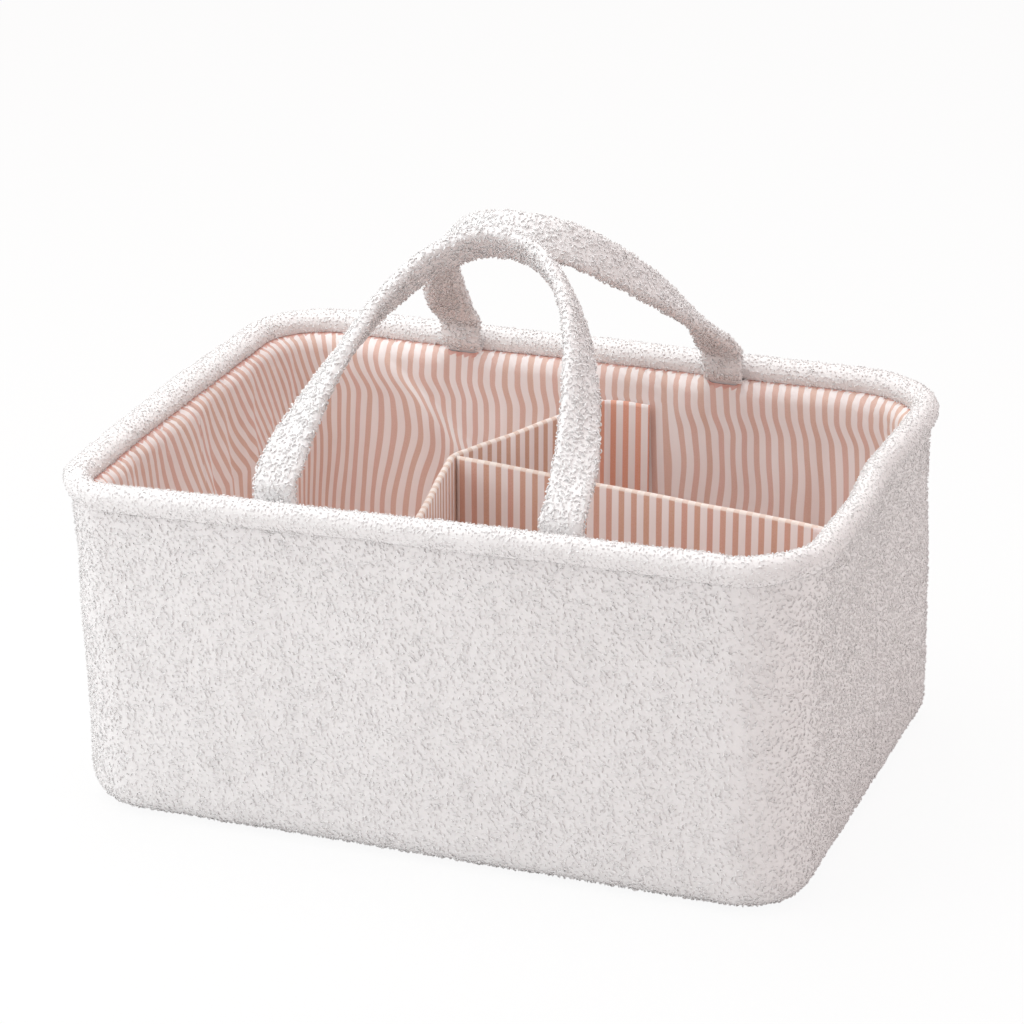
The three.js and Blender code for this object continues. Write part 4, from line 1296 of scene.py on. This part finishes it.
class CADDY_OT_rim(bpy.types.Operator):
    """Make the padded rim roll and its loops"""

    bl_idname = "caddy.rim"
    bl_label = "Rim roll"

    def execute(self, context):
        plan, basket = Plan(), settings("basket")
        terry = bpy.data.materials["looped_terry"]
        roll = linked("rim_roll_cover", rim_cover(plan), terry)
        roughen(roll, basket.pile)
        settle(roll, "basket", ["rim_roll"])
        add_pile("rim_pile", roll, "basket", RIM_PILE, 60, 4)
        padding = linked("rim_padding", rim_padding(plan), bpy.data.materials["soft_wadding"])
        settle(padding, "basket", ["rim_core"])
        return {"FINISHED"}


class CADDY_OT_lining(bpy.types.Operator):
    """Make the striped lining"""

    bl_idname = "caddy.lining"
    bl_label = "Striped lining"

    def execute(self, context):
        plan, lining = Plan(), settings("lining")
        cotton = bpy.data.materials["stripe_cotton"]
        for half in ("front", "back"):
            sheet = linked(f"lining_{half}", lining_half(plan, half), bpy.data.materials["gathered_cotton"])
            thickened(sheet, lining.thickness)
            settle(sheet, "basket", [f"lining_{half}_panel"])
            start, end = plan.seams(half)
        bottom = linked("lining_base", lining_bottom(plan), cotton)
        thickened(bottom, lining.thickness)
        settle(bottom, "basket", ["lining_floor"])
        return {"FINISHED"}


class CADDY_OT_handles(bpy.types.Operator):
    """Make both strap handles with their padding and loops"""

    bl_idname = "caddy.handles"
    bl_label = "Strap handles"

    def execute(self, context):
        basket = settings("basket")
        terry = bpy.data.materials["looped_terry"]
        for name, side in (("front_handle", -1), ("back_handle", 1)):
            strap = Strap(side)
            cover = linked(f"{name}_strap", strap.mesh(f"{name}_strap", 0.0, 40, 1.5 * MM), terry)
            roughen(cover, basket.pile)
            add_pile(f"{name}_pile", cover, name, STRAP_PILE, 90 + side, 2, bend=strap.bend())
            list(strap.bend())
            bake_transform(cover)
            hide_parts(f"{name}_cover", f"{name}_left_tab", f"{name}_right_tab")
            filling = strap.mesh(f"{name}_padding", 1.9 * MM, 20, 4 * MM)
            padding = linked(f"{name}_padding", filling, bpy.data.materials["soft_wadding"])
            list(strap.bend())
            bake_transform(padding)
            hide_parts(f"{name}_core")
        return {"FINISHED"}


FLAP_THICKNESS = 1.1 * MM
# how much of a flap lies on the cross panel or the stem, before it turns the corner
CROSS_HOLD, STEM_HOLD = 7 * MM, 17 * MM


class CADDY_OT_divider(bpy.types.Operator):
    """Make the divider's folded covers and its flaps"""

    bl_idname = "caddy.divider"
    bl_label = "Divider"

    def execute(self, context):
        divider = settings("divider")
        low = panel_low.z
        junction, rear, front, root, end = (
            np.array(point) for point in (
                divider.junction, divider.rear_end, divider.front_end, divider.stem_root, divider.stem_end))
        half = divider.half_thickness
        cross_line = rounded([rear, junction, front], 6 * MM)
        cross = linked("divider_cross", fold_cover(
            "divider_cross", cross_line, half, divider.top, low, 51),
            bpy.data.materials["cross_cotton"])
        thickened(cross, divider.fabric)
        settle(cross, "divider", ["divider_cross_cover"])
        stem = linked("divider_stem", fold_cover(
            "divider_stem", np.array([root, end]), half, divider.top, low, 61),
            bpy.data.materials["stem_cotton"])
        thickened(stem, divider.fabric)
        settle(stem, "divider_stem", ["divider_stem_cover"])
        self.flaps(divider, bpy.data.materials["flap_cotton"], junction, rear, front, root, end)
        return {"FINISHED"}

    def flaps(self, divider, cotton, junction, rear, front, root, end):
        blush = bpy.data.materials["blush_cotton"]
        plans = {
            "rear": ("divider", rear - junction, (1, 0), (0, 1), cotton),
            "front": ("divider", front - junction, (1, 0), (0, -1), cotton),
            "stem": ("divider_stem", end - root, (0, 1), (1, 0), blush),
        }
        for number, (name, (parent, out, along, wall, cloth)) in enumerate(plans.items()):
            node = f"divider_{name}_flap"
            low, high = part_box(node)
            joint = next(j for j in frame["joints"] if j["name"] == f"{name}_flap_peel")
            place = np.array(joint["pos_m"])[:2]
            out = out / np.linalg.norm(out)
            sheet_at = place + np.array(wall) * 0.75 * MM
            fold, reach = CROSS_HOLD, divider.flap
            if name == "stem":
                fold, across = STEM_HOLD, 2 * divider.half_thickness + FLAP_THICKNESS
                sheet_at, reach = sheet_at - np.array(along) * across, reach + across
            mesh = flap_strip(node, sheet_at, out, along, fold, reach, low.z, high.z, 71 + number)
            strip = linked(f"{name}_flap_cloth", mesh, cloth)
            thickened(strip, FLAP_THICKNESS, 0.0)
            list(place - out * 2.5 * MM)
            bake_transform(strip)
            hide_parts(node)
            reach + fold


class CADDY_OT_inner(bpy.types.Operator):
    """Finish the boards and the hook and loop patches"""

    bl_idname = "caddy.inner"
    bl_label = "Boards and tape"

    def execute(self, context):
        finishes = {"board": "grey_board", "hook_patch": "hook_side", "loop_patch": "loop_side"}
        for name, node in frame["nodes"].items():
            for ending, finish in finishes.items():
                if name.endswith(ending):
                    node.data.materials.clear()
                    node.data.materials.append(bpy.data.materials[finish])
        return {"FINISHED"}


class CADDY_OT_materials(bpy.types.Operator):
    """Mix the cloth, board and tape materials, and model the loops of the pile"""

    bl_idname = "caddy.materials"
    bl_label = "Cloth and loops"

    def execute(self, context):
        colours = settings("colours")
        terry_cloth()
        striped_cotton("stripe_cotton", colours.rose, colours.tan)
        striped_cotton("gathered_cotton", colours.rose, colours.tan, gathered=True)
        striped_cotton("stem_cotton", colours.rose, colours.tan, folded=0.7)
        # painted shade: the cross panel's coloured stripes take the darker copy of the rose
        striped_cotton("cross_cotton", colours.shaded_rose, colours.tan, folded=0.55)
        striped_cotton("flap_cotton", colours.deep, colours.deep)
        plain_cotton("blush_cotton", tuple(colours.blush))
        plain_cotton("soft_wadding", tuple(colours.wadding))
        grey_board()
        tape("hook_side", 0.9 * MM)
        tape("loop_side", 0.6 * MM)
        make_loops()
        return {"FINISHED"}


LAMPS = {
    # place and width in metres, power in watts, colour
    "key": ((-0.8, -0.7, 0.8), 0.9, 3.8, (0.93, 0.98, 1.0)),
    "high": ((-0.3, -0.1, 1.1), 0.9, 4.6, (0.86, 1.0, 0.98)),
    "top": ((0.0, 0.1, 2.0), 1.2, 7.2, (1.0, 0.85, 0.9)),
    "behind": ((-0.8, 1.2, 1.6), 1.0, 4.8, (1.0, 0.97, 0.88)),
    "right": ((1.6, -0.2, 0.9), 1.0, 3.2, (0.97, 1.0, 0.98)),
    "front": ((-0.9, -1.8, 0.5), 0.9, 2.2, (0.7, 0.97, 1.0)),
}
LIT_POINT = (0, 0, 0.12)
WORLD_TINT = (0.53, 0.455, 0.44, 1)
FLOOR_GLOW = 0.92  # how much of the floor's own glow a camera sees


class CADDY_OT_stage(bpy.types.Operator):
    """Set the floor, the lights and the camera"""

    bl_idname = "caddy.stage"
    bl_label = "Stage"

    def execute(self, context):
        self.floor()
        self.lights()
        self.camera(settings("stage"))
        return {"FINISHED"}

    def floor(self):
        bm = bmesh.new()
        bmesh.ops.create_grid(bm, x_segments=1, y_segments=1, size=6.0)
        mesh = bpy.data.meshes.new("floor")
        bm.to_mesh(mesh)
        bm.free()
        material = bpy.data.materials.new("pale_floor")
        material.use_nodes = True
        recipe = Recipe(material.node_tree)
        rays = recipe.node("ShaderNodeLightPath")
        seen = Value(recipe, rays.outputs["Is Camera Ray"])
        kinds = ("Is Glossy Ray", "Is Transmission Ray")
        mirrored, through = (Value(recipe, rays.outputs[kind]) for kind in kinds)
        matt = recipe.node("ShaderNodeBsdfDiffuse", None, {"Color": (0.9, 0.9, 0.9, 1)})
        glow = recipe.node("ShaderNodeEmission", None, {"Color": (1, 1, 1, 1), "Strength": 1.0})
        share_of_glow = (seen + (mirrored + through)).clamped() * FLOOR_GLOW
        mix = recipe.node("ShaderNodeMixShader", None, {
            0: share_of_glow, 1: matt.outputs[0], 2: glow.outputs[0]})
        recipe.node("ShaderNodeOutputMaterial", None, {"Surface": mix.outputs[0]})
        linked("floor", mesh, material)

    def lights(self):
        world = bpy.data.worlds.new("studio")
        world.use_nodes = True
        bpy.context.scene.world = world
        recipe = Recipe(world.node_tree)
        rays = recipe.node("ShaderNodeLightPath")
        kinds = ("Is Camera Ray", "Is Glossy Ray", "Is Transmission Ray")
        seen, mirrored, through = (Value(recipe, rays.outputs[kind]) for kind in kinds)
        plain = (seen + mirrored + through).clamped()
        tint = recipe.mixed(plain, WORLD_TINT, (1, 1, 1, 1))
        glow = recipe.node("ShaderNodeBackground", None, {"Color": tint})
        recipe.node("ShaderNodeOutputWorld", None, {"Surface": glow.outputs[0]})
        for name, (place, size, power, tint) in LAMPS.items():
            light = bpy.data.lights.new(name, "AREA")
            light.size, light.energy, light.color = size, power, tint
            lamp = bpy.data.objects.new(name, light)
            lamp.location = place
            aim = Vector(LIT_POINT) - lamp.location
            lamp.rotation_euler = aim.to_track_quat("-Z", "Y").to_euler()
            bpy.context.scene.collection.objects.link(lamp)

    def camera(self, stage):
        data = bpy.data.cameras.new("camera")
        data.sensor_width, data.lens = 36.0, stage.lens
        data.clip_start, data.clip_end = 0.01, 50.0
        camera = bpy.data.objects.new("camera", data)
        a, e = stage.azimuth, stage.elevation
        back = Vector((math.sin(a) * math.cos(e), -math.cos(a) * math.cos(e), math.sin(e)))
        right = Vector((math.cos(a), math.sin(a), 0))
        up = back.cross(right)
        target = right * stage.aim_side + Vector((stage.aim_shift, 0, stage.aim_height))
        turn = Matrix((right, up, back)).transposed().to_4x4()
        camera.matrix_world = Matrix.Translation(target + back * stage.distance) @ turn
        bpy.context.scene.collection.objects.link(camera)
        bpy.context.scene.camera = camera
        bpy.context.scene.view_settings.view_transform = "Standard"


class CADDY_PT_panel(bpy.types.Panel):
    """Lists the steps that dress the caddy"""

    bl_idname = "CADDY_PT_panel"
    bl_label = "Caddy"
    bl_space_type = "VIEW_3D"
    bl_region_type = "UI"
    bl_category = "Caddy"

    def draw(self, context):
        for operator in OPERATORS:
            self.layout.operator(operator.bl_idname)


GROUPS = {
    "basket": CaddyBasket,
    "handles": CaddyHandles,
    "lining": CaddyLining,
    "divider": CaddyDivider,
    "colours": CaddyColours,
    "stage": CaddyStage,
}
OPERATORS = (
    CADDY_OT_materials,
    CADDY_OT_stage,
    CADDY_OT_walls,
    CADDY_OT_rim,
    CADDY_OT_lining,
    CADDY_OT_handles,
    CADDY_OT_divider,
    CADDY_OT_inner,
)


def register():
    for name, group in GROUPS.items():
        bpy.utils.register_class(group)
        setattr(bpy.types.Scene, "caddy_" + name, PointerProperty(type=group))
    for operator in OPERATORS:
        bpy.utils.register_class(operator)
    bpy.utils.register_class(CADDY_PT_panel)


def unregister():
    bpy.utils.unregister_class(CADDY_PT_panel)
    for operator in reversed(OPERATORS):
        bpy.utils.unregister_class(operator)
    for name, group in reversed(GROUPS.items()):
        delattr(bpy.types.Scene, "caddy_" + name)
        bpy.utils.unregister_class(group)


def main():
    register()
    for operator in OPERATORS:
        getattr(bpy.ops.caddy, operator.bl_idname.removeprefix("caddy."))()
    for name in LOOPS:
        bpy.data.objects.remove(bpy.data.objects[name])


if __name__ == "__main__":
    main()
